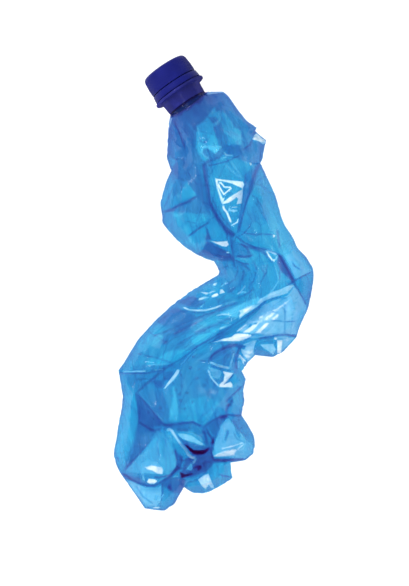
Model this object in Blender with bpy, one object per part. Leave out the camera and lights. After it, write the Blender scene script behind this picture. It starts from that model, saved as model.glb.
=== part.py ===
"""Crushed drinks bottle of thin clear plastic, lying on its side with its screw cap on.

The bottle is one blown shell: a neck finish with a support ring, a crumpled body and a base with five feet that is
turned up. Its crumpled skin is two sheets that meet along a seam around the widest outline. Each sheet is a film
stretched over its folds, which are lines of points set by hand, and rolls over to the seam at its rim.

Units in this file are millimetres until a mesh is made. X runs across the bottle, Y from the base towards the cap
and Z up from the floor. Run with: blender --background --python part.py
"""

import math

import bpy
import numpy as np
from mathutils import Matrix
from mathutils.geometry import delaunay_2d_cdt

MM = 0.001

# Where the object's own origin lies in the coordinates of this file: under the middle of its outline.
ORIGIN = (0.05, 137.7)

# Neck: its axis starts at the support ring and points out of the mouth, turned to the left and a little down.
RING_CENTRE = (-20.3, 252.5, 17.5)
NECK_TURN = math.radians(33.9)
NECK_DIP = math.radians(6.0)
NECK_SIDES = 36
NECK_BASE_S = -9.0
NECK_BASE_RADIUS = 12.6
BORE_RADIUS = 10.9
MOUTH_S = 15.3
RING_RADIUS = 16.5
RING_HALF = 0.9
THREAD_ROOT_RADIUS = 12.45
BEAD_RADIUS = 13.9

# Cap, seal and tamper band, as distances along the neck axis from the support ring.
FIT_GAP = 0.3
CAP_SIDES = 60
CAP_FOOT_S = 6.0
CAP_TOP_S = 17.7
CAP_FOOT_RADIUS = 15.1
CAP_TOP_RADIUS = 14.65
CAP_BORE_RADIUS = 13.95
CAP_CORNER = 2.2
LINER_RADIUS = 13.4
LINER_THICKNESS = 0.5
BAND_FOOT_S = RING_HALF + 0.1 + FIT_GAP
BAND_TOP_S = CAP_FOOT_S - 0.4
BAND_RADIUS = 15.6
BAND_BORE_RADIUS = 14.6
BAND_LIP_RADIUS = 13.2

# Skin: its thickness, and where the blown wall stays thicker, at the neck and at the middle of the base.
WALL = 0.35
NECK_WALL = 1.5
NECK_WALL_REACH = 9.0
GATE = (-8.3, 27.7)
GATE_WALL = 1.5
GATE_REACH = 8.0

# Sheets: the distance between their points, the upward swell of the film, and how near its points may lie.
STEP = 4.3
SWELL_TOP = 0.005
ROLL_POWER = 1.7
POINT_CLEARANCE = 0.55
CHORD_PASSES = 4
SEAM_CLEARANCE = 1.6

# The outline, clockwise from the right of the neck, as stretches between corners. Each stretch gives the height of
# the seam and the radius of the rolled edge at its first point.
OUTLINE = [
    ("shoulder_top", 18.4, 12.6, [(-2.4, 252.2), (4.7, 252.4)]),
    ("shoulder_slope", 21, 11, [(6.7, 251.7), (9.8, 248.3), (14.9, 240.9), (20.0, 234.7)]),
    ("torn_fold", 25, 4, [(25.7, 230.7), (25.0, 228.7), (30.2, 224.2), (31.3, 223.3)]),
    ("flank_notch", 21, 6, [(30.8, 220.5), (29.1, 212.0)]),
    ("right_flank", 16, 11, [(28.0, 209.7), (33.7, 197.7), (37.0, 190.4), (40.7, 177.0), (43.0, 171.7)]),
    ("upper_elbow", 21, 8, [(47.0, 165.7), (50.5, 158.5), (55.8, 153.0)]),
    ("elbow", 13, 9, [(59.8, 146.0), (59.8, 139.0), (58.5, 130.3), (56.3, 121.7), (51.6, 111.3)]),
    ("hem", 17, 7, [(49.8, 105.2), (45.0, 100.0), (41.6, 96.5), (35.5, 93.3), (25.1, 94.4)]),
    ("hem_notch", 14, 5, [(20.4, 90.0), (16.9, 84.8)]),
    ("right_waist", 19, 8, [(19.2, 80.0), (17.7, 73.0), (18.3, 66.3), (17.3, 63.0)]),
    ("right_foot", 17, 9, [(16.7, 58.3), (21.0, 51.7), (24.0, 46.0), (24.7, 41.0), (23.6, 35.0), (19.0, 31.3)]),
    ("low_foot", 15, 6, [(10.3, 29.8), (10.5, 25.0), (11.3, 20.7)]),
    ("low_foot_rim", 11, 7, [(8.3, 18.3), (0.3, 13.7), (-6.3, 11.3), (-12.3, 11.7)]),
    ("base_notch", 13, 5, [(-17.7, 15.0), (-20.5, 10.5)]),
    ("left_low_foot", 10, 8, [(-23.5, 5.0), (-29.7, 0.9), (-35.0, 1.3)]),
    ("left_low_rim", 13, 8, [(-41.3, 2.3), (-47.0, 11.0), (-51.7, 17.7), (-55.7, 23.0)]),
    ("left_foot", 14, 10, [(-58.3, 28.3), (-59.7, 35.0), (-58.3, 43.7), (-56.7, 53.7), (-55.0, 62.3)]),
    ("left_waist", 20, 7, [(-54.3, 69.7), (-55.3, 76.3)]),
    ("left_corner", 23, 5, [(-56.8, 85.5), (-53.7, 89.6)]),
    ("left_belly", 15, 8, [(-49.4, 97.0), (-45.0, 103.9), (-34.7, 115.2), (-26.4, 123.0)]),
    ("waist", 23, 7, [(-13.0, 132.9), (-2.6, 139.2), (3.0, 142.6)]),
    ("waist_notch", 20, 5, [(3.6, 144.6), (2.3, 147.7)]),
    ("left_lobe", 15, 8, [(0.4, 150.9), (-4.3, 152.4), (-10.0, 155.0), (-17.0, 159.4), (-23.0, 164.8)]),
    ("left_lobe_side", 22, 9, [(-30.0, 173.0), (-31.7, 185.0), (-30.3, 191.7), (-28.3, 198.4)]),
    ("left_nick", 18, 6, [(-25.3, 205.2), (-27.8, 212.5)]),
    ("left_shoulder", 21, 10, [(-27.6, 217.7), (-27.0, 229.0), (-26.5, 234.5)]),
]

# Folds of the upper sheet, with the height of the film at each point.
TOP_FOLDS = {
    "shoulder_ridge": [(-13.0, 243.0, 31.5), (-3.0, 236.0, 39), (4.0, 228.0, 44), (12.0, 222.5, 44)],
    "shoulder_side_crease": [(-23.5, 234.0, 26), (-19.0, 223.0, 31), (-17.0, 217.5, 34), (-18.5, 208.0, 33)],
    "shoulder_patch": [(-9.0, 233.0, 34), (-9.5, 218.0, 37), (-2.0, 214.5, 37)],
    "shoulder_cheek": [(-21.5, 216.0, 36), (-13.5, 222.0, 40), (-12.5, 212.0, 41)],
    "shoulder_slope_crease": [(2.0, 247.0, 31), (10.0, 236.0, 35), (20.0, 227.0, 35)],
    "shoulder_slope_ridge": [(8.0, 245.0, 30), (16.0, 235.5, 37), (22.0, 230.5, 36)],
    "torn_fold_lip": [(21.0, 218.0, 36), (25.0, 223.0, 37), (27.5, 225.0, 34)],
    "window_head": [(5.0, 217.5, 38), (13.0, 217.0, 37), (20.5, 216.5, 36)],
    "window_lip": [(-3.7, 207.5, 35), (2.3, 208.7, 40), (7.7, 210.3, 43), (15.7, 213.4, 44)],
    "window_left": [(-6.0, 208.0, 33), (-5.3, 201.7, 31), (-3.0, 193.0, 31), (-2.0, 185.7, 30),
                    (2.3, 177.0, 28), (7.7, 169.5, 27), (12.6, 165.9, 25)],
    "lobe_ridge": [(-10.5, 207.0, 41), (-10.0, 198.0, 41), (-8.5, 189.5, 39), (-5.5, 182.0, 37), (-1.0, 175.0, 34)],
    "strap_edge": [(27.0, 207.5, 40), (23.0, 198.4, 44), (21.7, 193.0, 44), (17.7, 181.0, 39), (14.7, 169.5, 30)],
    "strap_foot": [(19.3, 203.0, 37), (18.4, 196.0, 34), (16.6, 183.0, 31), (14.2, 174.0, 28)],
    "window_top_crinkle": [(1.0, 200.0, 37), (9.5, 199.3, 34), (16.4, 198.3, 34)],
    "window_side_crinkle": [(1.0, 200.0, 37), (5.3, 185.0, 33), (11.0, 171.7, 28)],
    "window_bar": [(5.3, 185.0, 33), (10.5, 189.0, 37), (16.4, 193.7, 34)],
    "flank_crease": [(32.0, 206.0, 29), (33.5, 193.0, 34), (35.0, 180.0, 35), (36.5, 168.0, 34)],
    "flank_facet": [(24.5, 188.0, 41), (31.0, 176.0, 42), (34.0, 168.5, 38)],
    "lobe_crease": [(-28.5, 182.8, 29), (-19.7, 185.0, 34), (-11.5, 188.5, 37)],
    "lobe_low_ridge": [(-26.0, 175.0, 33), (-17.0, 177.5, 40), (-9.0, 181.0, 39)],
    "lobe_low_crease": [(-15.3, 165.4, 31), (-8.5, 170.0, 33), (-2.3, 174.0, 31)],
    "lobe_foot_ridge": [(-9.0, 161.0, 35), (-4.0, 167.0, 37), (3.0, 169.0, 33)],
    "lobe_triangle": [(-16.7, 199.0, 39), (-20.0, 191.0, 39), (-11.5, 188.5, 37)],
    "cone_wedge": [(-2.5, 162.6, 39), (3.0, 161.5, 34), (8.7, 160.4, 29)],
    "cone_foot": [(-2.5, 162.6, 39), (4.0, 156.5, 29), (11.5, 152.0, 26)],
    "pinch_line": [(12.6, 165.9, 25), (11.2, 160.0, 25), (12.0, 151.7, 26)],
    "elbow_crest": [(17.0, 167.0, 33), (25.0, 163.0, 38), (33.5, 161.0, 39.5)],
    "long_crease": [(13.2, 165.7, 25), (18.3, 161.7, 29), (24.3, 158.7, 32), (31.0, 156.4, 34.5), (38.6, 154.4, 35),
                    (43.7, 146.4, 33), (47.7, 139.0, 31), (51.6, 132.0, 29), (54.5, 125.5, 25)],
    "elbow_line": [(20.3, 169.5, 37), (28.0, 169.6, 38), (35.5, 168.2, 36)],
    "elbow_pocket": [(31.0, 156.4, 34.5), (35.5, 150.6, 32), (38.6, 154.4, 35)],
    "pocket_tail": [(35.5, 150.6, 32), (39.0, 143.0, 36), (38.0, 137.0, 39)],
    "elbow_rim_crease": [(43.5, 167.0, 28), (46.5, 158.0, 34), (51.5, 148.0, 34)],
    "elbow_end_crease": [(57.0, 143.3, 27), (51.0, 139.8, 30)],
    "elbow_low_ridge": [(46.0, 130.0, 37), (48.5, 121.0, 38)],
    "arc_one": [(14.0, 153.0, 29), (20.3, 151.5, 36), (28.5, 147.0, 41), (26.5, 137.5, 40), (19.9, 130.8, 37)],
    "arc_valley": [(14.5, 149.8, 27), (22.5, 145.5, 34), (21.0, 137.0, 34), (15.5, 131.0, 34)],
    "arc_two": [(12.0, 151.7, 26), (17.0, 144.5, 36), (15.0, 138.0, 38), (10.4, 132.0, 37)],
    "waist_crinkle": [(-2.0, 134.0, 32), (3.0, 130.0, 40), (6.5, 135.5, 35)],
    "belly_arc": [(-18.0, 123.0, 34), (-9.5, 121.2, 40), (5.2, 125.0, 42)],
    "belly_hollow": [(-36.0, 107.5, 28), (-25.0, 107.0, 33), (-12.0, 111.0, 35), (3.0, 117.0, 37)],
    "main_ridge": [(45.5, 136.0, 37), (39.0, 132.0, 42), (30.3, 129.0, 43), (21.7, 122.8, 43), (16.5, 118.2, 42),
                   (4.5, 110.5, 41), (-4.3, 105.8, 41), (-10.0, 102.5, 41), (-20.0, 95.5, 39)],
    "main_valley": [(31.5, 125.4, 34), (20.8, 117.3, 31), (10.5, 110.5, 29), (0.0, 104.0, 31), (-9.5, 98.6, 34),
                    (-18.2, 91.6, 31), (-24.3, 88.0, 30), (-33.0, 81.5, 29), (-45.5, 72.5, 25)],
    "lens_ridge": [(-2.0, 100.8, 36), (10.4, 104.8, 38), (20.0, 106.5, 39), (30.0, 112.0, 41), (41.0, 121.0, 40)],
    "lens_valley": [(35.0, 123.0, 35), (42.0, 128.5, 34)],
    "hem_valley": [(15.8, 99.7, 25), (24.0, 102.8, 25), (37.3, 104.2, 24), (47.0, 104.6, 20)],
    "hem_lip": [(24.0, 107.5, 38), (37.5, 108.6, 37), (48.5, 109.5, 28)],
    "hem_bar": [(40.0, 102.5, 25), (39.6, 98.5, 26)],
    "hem_corner": [(15.8, 99.7, 25), (26.0, 98.0, 28), (34.0, 96.5, 24)],
    "pleat": [(15.8, 99.7, 25), (17.0, 93.0, 22)],
    "pocket_brow": [(-1.7, 90.4, 39), (5.0, 88.5, 38), (11.5, 86.0, 33)],
    "pocket_side": [(-1.7, 90.4, 39), (-2.8, 84.5, 38), (3.3, 76.5, 39), (11.0, 75.5, 35)],
    "pocket_floor": [(4.0, 85.0, 30), (6.5, 80.0, 30), (10.5, 80.5, 27)],
    "corner_ridge": [(-54.0, 85.2, 26), (-40.0, 86.2, 36), (-26.0, 90.5, 37)],
    "belly_facet": [(-42.0, 99.0, 33), (-32.0, 98.5, 40), (-20.0, 95.5, 39)],
    "branch_ridge": [(-11.5, 95.5, 39), (-19.0, 87.6, 41), (-24.0, 80.0, 41), (-27.0, 72.0, 39), (-25.5, 58.0, 34)],
    "lower_hollow": [(-11.0, 86.0, 35), (-12.0, 74.0, 34), (-13.0, 62.0, 33)],
    "dark_triangle_left": [(-45.5, 71.0, 25), (-44.5, 60.0, 23), (-43.5, 53.0, 23)],
    "dark_triangle_foot": [(-43.5, 53.0, 23), (-36.0, 50.5, 21), (-31.0, 52.4, 24)],
    "dark_triangle_right": [(-45.5, 71.0, 25), (-39.0, 64.0, 32), (-30.8, 53.6, 30)],
    "left_facet_edge": [(-46.5, 79.0, 34), (-49.5, 64.0, 34), (-49.8, 48.0, 33), (-53.0, 34.0, 28)],
    "body_foot_line": [(-29.0, 52.0, 26), (-18.3, 55.2, 30), (-12.3, 56.0, 31), (-5.5, 52.8, 29), (0.0, 52.0, 27)],
    "side_crease": [(9.0, 75.0, 36), (1.7, 64.8, 42), (-3.5, 56.5, 36)],
    "waist_crease": [(14.5, 73.5, 30), (8.3, 67.5, 34), (7.7, 59.5, 30)],
    "foot_a_top": [(-32.5, 49.0, 28), (-40.0, 41.0, 31), (-47.5, 32.5, 29), (-53.0, 26.0, 23)],
    "foot_a_dome": [(-31.5, 44.0, 36), (-30.5, 36.0, 40), (-34.0, 28.0, 40), (-41.0, 24.5, 35)],
    "foot_a_rim": [(-49.5, 21.8, 27), (-41.0, 18.6, 33), (-34.0, 18.6, 35), (-27.0, 22.5, 36), (-22.0, 29.0, 36),
                   (-22.0, 36.0, 36), (-25.0, 42.0, 34)],
    "foot_a_cleft": [(-50.5, 18.4, 20), (-41.0, 15.6, 22), (-34.0, 15.4, 23), (-26.0, 18.8, 24), (-19.4, 26.5, 23),
                     (-18.6, 33.5, 22), (-21.5, 39.5, 25)],
    "foot_b_ridge": [(-39.0, 8.0, 26), (-30.0, 7.0, 28), (-24.5, 11.5, 27)],
    "foot_b_keel": [(-35.0, 12.0, 25), (-33.0, 5.0, 24)],
    "foot_c_ridge": [(-10.0, 16.5, 26), (-3.0, 18.5, 28), (4.0, 22.0, 26)],
    "foot_c_side": [(5.5, 27.0, 24), (7.5, 22.0, 22)],
    "gate_dip": [(-13.0, 25.0, 19), (-8.3, 27.7, 18.5), (-2.5, 29.5, 20)],
    "web_ridge": [(-27.8, 47.8, 31), (-24.5, 48.2, 34), (-18.3, 38.4, 31), (-13.7, 33.4, 27), (-10.2, 33.0, 25)],
    "foot_e_rim": [(-21.0, 47.6, 34), (-16.8, 43.2, 36), (-11.0, 39.9, 36), (-6.2, 41.0, 35), (-6.0, 46.0, 35)],
    "foot_e_crest": [(-18.5, 50.2, 37), (-12.0, 47.5, 39), (-8.0, 43.5, 38)],
    "foot_e_cleft": [(-16.0, 40.0, 24), (-12.3, 36.8, 20), (-6.8, 36.6, 19), (-3.2, 39.5, 20), (-2.6, 45.5, 24)],
    "foot_d_rim": [(1.6, 34.5, 32), (0.8, 40.0, 34), (2.2, 46.0, 36), (5.5, 52.5, 36), (9.0, 55.6, 34)],
    "foot_d_streak": [(1.6, 34.5, 32), (9.0, 37.8, 37), (17.5, 41.5, 36)],
    "foot_d_crown": [(7.0, 46.0, 41), (12.0, 47.5, 41), (15.0, 52.5, 37)],
    "foot_d_brow": [(-0.2, 47.5, 25), (3.2, 55.0, 27), (7.6, 58.0, 28), (13.0, 58.5, 28)],
    "foot_d_under": [(0.5, 31.2, 21), (9.0, 32.4, 24), (16.0, 33.2, 27)],
}

# Folds of the under sheet. The patches lie flat on the floor.
FLOOR_PATCHES = {
    "belly_patch": [(-44.0, 78.0), (-24.0, 84.0), (-16.0, 66.0), (-30.0, 56.0), (-44.0, 62.0)],
    "elbow_patch": [(24.0, 134.0), (43.0, 139.0), (45.0, 122.0), (31.0, 116.0)],
    "shoulder_patch": [(-14.0, 196.0), (8.0, 203.0), (20.0, 192.0), (10.0, 178.0), (-12.0, 180.0)],
    "foot_patch": [(-40.0, 24.0), (-28.0, 28.0), (-26.0, 16.0), (-36.0, 13.0)],
}
UNDER_FOLDS = {
    "under_shoulder": [(-12.0, 236.0, 6.5), (-4.0, 224.0, 4), (8.0, 214.0, 3.5), (16.0, 206.0, 2.5)],
    "under_shoulder_side": [(10.0, 236.0, 6), (4.0, 224.0, 2.0), (-12.0, 212.0, 1.5)],
    "under_flank": [(28.0, 196.0, 5), (26.0, 180.0, 2), (32.0, 166.0, 4), (44.0, 154.0, 3)],
    "under_lobe": [(-20.0, 192.0, 2), (-22.0, 178.0, 3.5), (-10.0, 168.0, 6), (2.0, 162.0, 7.5)],
    "under_pinch": [(2.0, 162.0, 7.5), (12.0, 152.0, 9), (24.0, 144.0, 4)],
    "under_pinch_side": [(12.0, 152.0, 9), (8.0, 142.0, 8), (-4.0, 128.0, 5)],
    "under_elbow": [(50.0, 138.0, 2), (50.0, 120.0, 3), (38.0, 106.0, 5), (24.0, 100.0, 7)],
    "under_belly": [(14.0, 128.0, 6), (6.0, 112.0, 8), (-6.0, 100.0, 6), (-22.0, 92.0, 2)],
    "under_belly_side": [(-4.0, 128.0, 5), (-22.0, 112.0, 2.5), (-36.0, 100.0, 4), (-48.0, 84.0, 5)],
    "under_waist": [(24.0, 100.0, 7), (8.0, 92.0, 7), (2.0, 74.0, 4), (-6.0, 60.0, 3)],
    "under_right": [(10.0, 80.0, 5), (9.0, 62.0, 4), (14.0, 46.0, 5), (4.0, 38.0, 8)],
    "under_left": [(-50.0, 74.0, 4), (-50.0, 52.0, 3), (-48.0, 34.0, 2)],
    "under_base": [(-20.0, 50.0, 3), (-12.0, 38.0, 6), (-6.0, 26.0, 9), (-2.0, 20.0, 7)],
    "under_base_side": [(-12.0, 38.0, 6), (-19.0, 22.0, 7), (-19.0, 17.0, 7)],
}

# Rounded feet of the base: centre, radius, and how much more the film swells there.
FEET = [
    (-34.0, 31.0, 12.0, 0.05),
    (12.0, 45.0, 10.0, 0.06),
    (-12.0, 46.0, 7.0, 0.08),
    (-33.0, 9.0, 10.0, 0.05),
    (-3.0, 19.0, 9.0, 0.05),
]


def blend_along(points, step):
    """Rows of values no more than step apart in x and y, blended evenly between the given rows."""
    rows = [np.asarray(points[0], float)]
    for start, end in zip(points[:-1], points[1:]):
        start = np.asarray(start, float)
        end = np.asarray(end, float)
        count = max(1, math.ceil(math.dist(start[:2], end[:2]) / step))
        rows += [start + (end - start) * (k / count) for k in range(1, count + 1)]
    return np.array(rows)


def neck_frame():
    """The directions to the right of, above and along the neck axis, and the centre of the support ring."""
    along = np.array([
        -math.sin(NECK_TURN) * math.cos(NECK_DIP),
        math.cos(NECK_TURN) * math.cos(NECK_DIP),
        -math.sin(NECK_DIP),
    ])
    right = np.array([math.cos(NECK_TURN), math.sin(NECK_TURN), 0.0])
    above = np.cross(right, along)
    return right, above, along, np.array(RING_CENTRE)


def neck_circle(s, radius):
    """A ring of NECK_SIDES points round the neck axis, from the right side over the top."""
    right, above, along, centre = neck_frame()
    angles = np.arange(NECK_SIDES) * (2 * math.pi / NECK_SIDES)
    spokes = np.outer(np.cos(angles), right) + np.outer(np.sin(angles), above)
    return centre + along * s + spokes * radius


def outline_rows():
    """Points of the open outline from the neck's right side to its left, as x, y, seam height and edge radius."""
    ring = neck_circle(NECK_BASE_S, NECK_BASE_RADIUS)
    corners = [(*ring[0], NECK_BASE_RADIUS)]
    stretches = OUTLINE + [("neck", ring[NECK_SIDES // 2][2], NECK_BASE_RADIUS, [])]
    for (_, seam, edge, points), (_, next_seam, next_edge, _) in zip(stretches[:-1], stretches[1:]):
        for k, (x, y) in enumerate(points):
            share = k / len(points)
            corners.append((x, y, seam + (next_seam - seam) * share, edge + (next_edge - edge) * share))
    corners.append((*ring[NECK_SIDES // 2], NECK_BASE_RADIUS))
    return blend_along(corners, STEP)


def nearest_on_outline(points, rows):
    """Each point's distance to the outline, with the seam height and the edge radius at the nearest place."""
    start = rows[:-1]
    span = rows[1:] - start
    length2 = (span[:, :2] ** 2).sum(axis=1)
    away = points[:, None, :2] - start[None, :, :2]
    share = np.clip((away * span[None, :, :2]).sum(axis=2) / length2, 0, 1)
    foot = start[None] + span[None] * share[:, :, None]
    gap = np.hypot(points[:, None, 0] - foot[:, :, 0], points[:, None, 1] - foot[:, :, 1])
    best = gap.argmin(axis=1)
    at = np.arange(len(points))
    return gap[at, best], foot[at, best, 2], foot[at, best, 3]


def inside(points, loop):
    """Whether each point lies inside a closed loop of points."""
    x, y = points[:, 0][:, None], points[:, 1][:, None]
    x0, y0 = loop[:, 0], loop[:, 1]
    x1, y1 = np.roll(x0, -1), np.roll(y0, -1)
    crosses = (y0 > y) != (y1 > y)
    rise = np.where(y1 == y0, 1.0, y1 - y0)
    left_of = x < x0 + (y - y0) * (x1 - x0) / rise
    return (crosses & left_of).sum(axis=1) % 2 == 1


def fill_points(loop, taken):
    """A staggered grid of points inside the loop that keeps clear of the points already taken."""
    low, high = loop.min(axis=0)[:2], loop.max(axis=0)[:2]
    rows = []
    for j, y in enumerate(np.arange(low[1], high[1], STEP * math.sqrt(3) / 2)):
        x = np.arange(low[0] + STEP / 2 * (j % 2), high[0], STEP)
        rows.append(np.column_stack([x, np.full(len(x), y)]))
    grid = np.vstack(rows)
    grid = grid[inside(grid, loop)]
    gap = np.hypot(*(grid[:, None] - taken[None, :, :2]).transpose(2, 0, 1)).min(axis=1)
    return grid[gap > STEP * POINT_CLEARANCE]


def triangles_inside(points, edges, rim):
    """Triangles inside the loop of the first rim points, with the given edges kept."""
    loop = list(range(rim))[::-1]
    flat, _, faces, sources, _, _ = delaunay_2d_cdt(points, edges, [loop], 1, 1e-4)
    return np.array([tuple(p) for p in flat]), np.array([tuple(f) for f in faces]), sources


def chord_middles(points, edges, rim):
    """Middles of the triangle edges that would cut straight across from rim to rim.

    Such an edge would lie in both sheets at once and pinch the shell shut.
    """
    middles = []
    for _ in range(CHORD_PASSES):
        flat, faces, sources = triangles_inside(points + middles, edges, rim)
        on_rim = {k: min(j for j in came_from if j < rim)
                  for k, came_from in enumerate(sources) if any(j < rim for j in came_from)}
        sides = {tuple(sorted((face[i], face[i - 1]))) for face in faces.tolist() for i in range(3)}
        chords = [(a, b) for a, b in sides
                  if a in on_rim and b in on_rim and abs(on_rim[a] - on_rim[b]) not in (1, rim - 1)]
        if not chords:
            break
        middles += [tuple((flat[a] + flat[b]) / 2) for a, b in sorted(chords)]
    return middles


def film_heights(points, faces, fixed, swell):
    """Heights of a film held at the fixed points (index to height) and pushed up by swell at each point."""
    n = len(points)
    stiffness = np.zeros((n, n))
    load = np.zeros(n)
    for a, b, c in faces:
        corner = points[[a, b, c]]
        edges = corner[[2, 0, 1]] - corner[[1, 2, 0]]
        area = 0.5 * abs(edges[0, 0] * edges[1, 1] - edges[0, 1] * edges[1, 0])
        stiffness[np.ix_([a, b, c], [a, b, c])] += edges @ edges.T / (4 * max(area, 1e-6))
        load[[a, b, c]] += swell[[a, b, c]] * area / 3
    held = np.array(sorted(fixed))
    free = np.setdiff1d(np.arange(n), held)
    heights = np.zeros(n)
    heights[held] = [fixed[k] for k in held]
    pull = load[free] - stiffness[np.ix_(free, held)] @ heights[held]
    heights[free] = np.linalg.solve(stiffness[np.ix_(free, free)], pull)
    return heights


def make_sheet(rows, arc, folds, neck_height, swell_of, side):
    """One sheet of the skin: its points with heights, and its faces seen from above.

    Its first points are the outline's, then the neck arc's inner ones, so that two sheets can share them.
    """
    loop = np.vstack([rows[:, :2], arc[::-1, :2]])
    points = [tuple(p) for p in loop]
    edges = []
    fixed = {}
    for k in range(len(rows), len(loop)):
        fixed[k] = neck_height
    fixed[0] = neck_height
    fixed[len(rows) - 1] = neck_height
    for fold in folds:
        line = blend_along(fold, STEP)
        clear = nearest_on_outline(line, rows)[0] > SEAM_CLEARANCE
        last = None
        for p, keep in zip(line, clear & inside(line, loop)):
            if not keep:
                last = None
                continue
            points.append((p[0], p[1]))
            fixed[len(points) - 1] = p[2]
            if last is not None:
                edges.append((last, len(points) - 1))
            last = len(points) - 1
    points += [tuple(p) for p in fill_points(loop, np.array(points))]
    points += chord_middles(points, edges, len(loop))
    flat, faces, sources = triangles_inside(points, edges, len(loop))
    held = {}
    for k, came_from in enumerate(sources):
        known = [fixed[j] for j in came_from if j in fixed]
        if known:
            held[k] = known[0]
    heights = film_heights(flat, faces, held, swell_of(flat))
    depth, seam, edge = nearest_on_outline(flat, rows)
    roll = (1 - (1 - np.clip(depth / edge, 0, 1)) ** ROLL_POWER) ** (1 / ROLL_POWER)
    heights = seam + (heights - seam) * roll
    if side < 0:
        heights = np.maximum(heights, 0.0)
    order = [None] * len(loop)
    for k, came_from in enumerate(sources):
        for j in came_from:
            if j < len(loop):
                order[j] = k
    rim = [order[k] for k in range(len(loop))]
    rest = [k for k in range(len(flat)) if k not in set(rim)]
    place = {k: i for i, k in enumerate(rim + rest)}
    solid = np.column_stack([flat, heights])[rim + rest]
    solid[:len(rows)] = rows[:, :3]
    solid[len(rows):len(loop)] = arc[::-1]
    return solid, [tuple(place[k] for k in face) for face in faces]


def top_swell(points):
    """How strongly the upper film swells at each point: more on the feet of the base."""
    swell = np.full(len(points), SWELL_TOP)
    for x, y, radius, more in FEET:
        swell += more * (np.hypot(points[:, 0] - x, points[:, 1] - y) < radius)
    return swell


def point_normals(points, faces):
    """Unit normals at the points, from the faces around each, and how far those faces lean away from it."""
    corner = points[faces]
    face_normal = np.cross(corner[:, 1] - corner[:, 0], corner[:, 2] - corner[:, 0])
    normal = np.zeros_like(points)
    for k in range(3):
        np.add.at(normal, faces[:, k], face_normal)
    normal /= np.linalg.norm(normal, axis=1)[:, None]
    unit = face_normal / np.linalg.norm(face_normal, axis=1)[:, None]
    lean = np.zeros(len(points))
    weight = np.zeros(len(points))
    for k in range(3):
        np.add.at(lean, faces[:, k], (unit * normal[faces[:, k]]).sum(axis=1))
        np.add.at(weight, faces[:, k], 1)
    return normal, lean / weight


def wall_thickness(points):
    """The wall at each point of the skin: thin, but thicker towards the neck and the middle of the base."""
    _, _, along, centre = neck_frame()
    from_neck = np.linalg.norm(points - (centre + along * NECK_BASE_S), axis=1) - NECK_BASE_RADIUS
    from_gate = np.hypot(points[:, 0] - GATE[0], points[:, 1] - GATE[1])
    near_neck = np.exp(-np.clip(from_neck, 0, None) / NECK_WALL_REACH)
    near_gate = np.exp(-(from_gate / GATE_REACH) ** 2) * (points[:, 2] > 14)
    return WALL + (NECK_WALL - WALL) * near_neck + (GATE_WALL - WALL) * near_gate


def neck_profile():
    """The neck's outside from its base to its mouth and back down its bore, as distance along and radius."""
    outside = [
        (-4.5, 12.9), (-RING_HALF - 0.5, 13.3), (-RING_HALF - 0.1, 14.2), (-RING_HALF, RING_RADIUS - 0.3),
        (-RING_HALF + 0.3, RING_RADIUS), (RING_HALF - 0.3, RING_RADIUS), (RING_HALF, RING_RADIUS - 0.3),
        (RING_HALF + 0.1, 13.3), (RING_HALF + 0.4, THREAD_ROOT_RADIUS), (4.0, THREAD_ROOT_RADIUS),
        (4.4, BEAD_RADIUS), (5.2, BEAD_RADIUS), (5.6, THREAD_ROOT_RADIUS), (10.0, THREAD_ROOT_RADIUS),
        (MOUTH_S - 0.4, THREAD_ROOT_RADIUS), (MOUTH_S, THREAD_ROOT_RADIUS - 0.4),
    ]
    bore = [(MOUTH_S, BORE_RADIUS + 0.3), (MOUTH_S - 0.3, BORE_RADIUS), (3.0, BORE_RADIUS), (-4.0, BORE_RADIUS)]
    return outside + bore


def bottle_mesh():
    """Points and faces of the whole bottle: outer skin, neck, and inner skin."""
    rows = outline_rows()
    circle = neck_circle(NECK_BASE_S, NECK_BASE_RADIUS)
    half = NECK_SIDES // 2
    centre_height = circle[0][2]
    upper_arc = circle[1:half]
    lower_arc = circle[half + 1:][::-1]
    patches = [[(x, y, 0.0) for x, y in loop + loop[:1]] for loop in FLOOR_PATCHES.values()]
    under = patches + list(UNDER_FOLDS.values())
    top, top_faces = make_sheet(rows, upper_arc, TOP_FOLDS.values(), centre_height + NECK_BASE_RADIUS, top_swell, 1)
    low, low_faces = make_sheet(rows, lower_arc, under, centre_height - NECK_BASE_RADIUS,
                                lambda flat: np.zeros(len(flat)), -1)
    shared = len(rows)
    outer = np.vstack([top, low[shared:]])
    shift = len(top) - shared
    faces = list(top_faces)
    faces += [tuple(k if k < shared else k + shift for k in face[::-1]) for face in low_faces]
    outer_faces = np.array(faces)
    neck_ring = [0] + list(range(shared + half - 2, shared - 1, -1)) + [shared - 1]
    neck_ring += list(range(len(top), len(top) + half - 1))

    normal, lean = point_normals(outer, outer_faces)
    depth = wall_thickness(outer) / np.clip(lean, 0.7, 1.0)
    inner = outer - normal * depth[:, None]
    inner[neck_ring] = neck_circle(NECK_BASE_S, NECK_BASE_RADIUS - NECK_WALL)

    points = [outer, inner]
    all_faces = [tuple(f) for f in outer_faces]
    all_faces += [tuple(k + len(outer) for k in face[::-1]) for face in outer_faces]
    ring = neck_ring
    base = 2 * len(outer)
    for s, radius in neck_profile():
        points.append(neck_circle(s, radius))
        next_ring = list(range(base, base + NECK_SIDES))
        all_faces += join_rings(next_ring, ring)
        ring = next_ring
        base += NECK_SIDES
    all_faces += join_rings([k + len(outer) for k in neck_ring], ring)
    return np.vstack(points), all_faces


def join_rings(near, far):
    """Quads from one ring of points to the next along the axis."""
    count = len(near)
    return [(near[k], near[(k + 1) % count], far[(k + 1) % count], far[k]) for k in range(count)]


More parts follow.
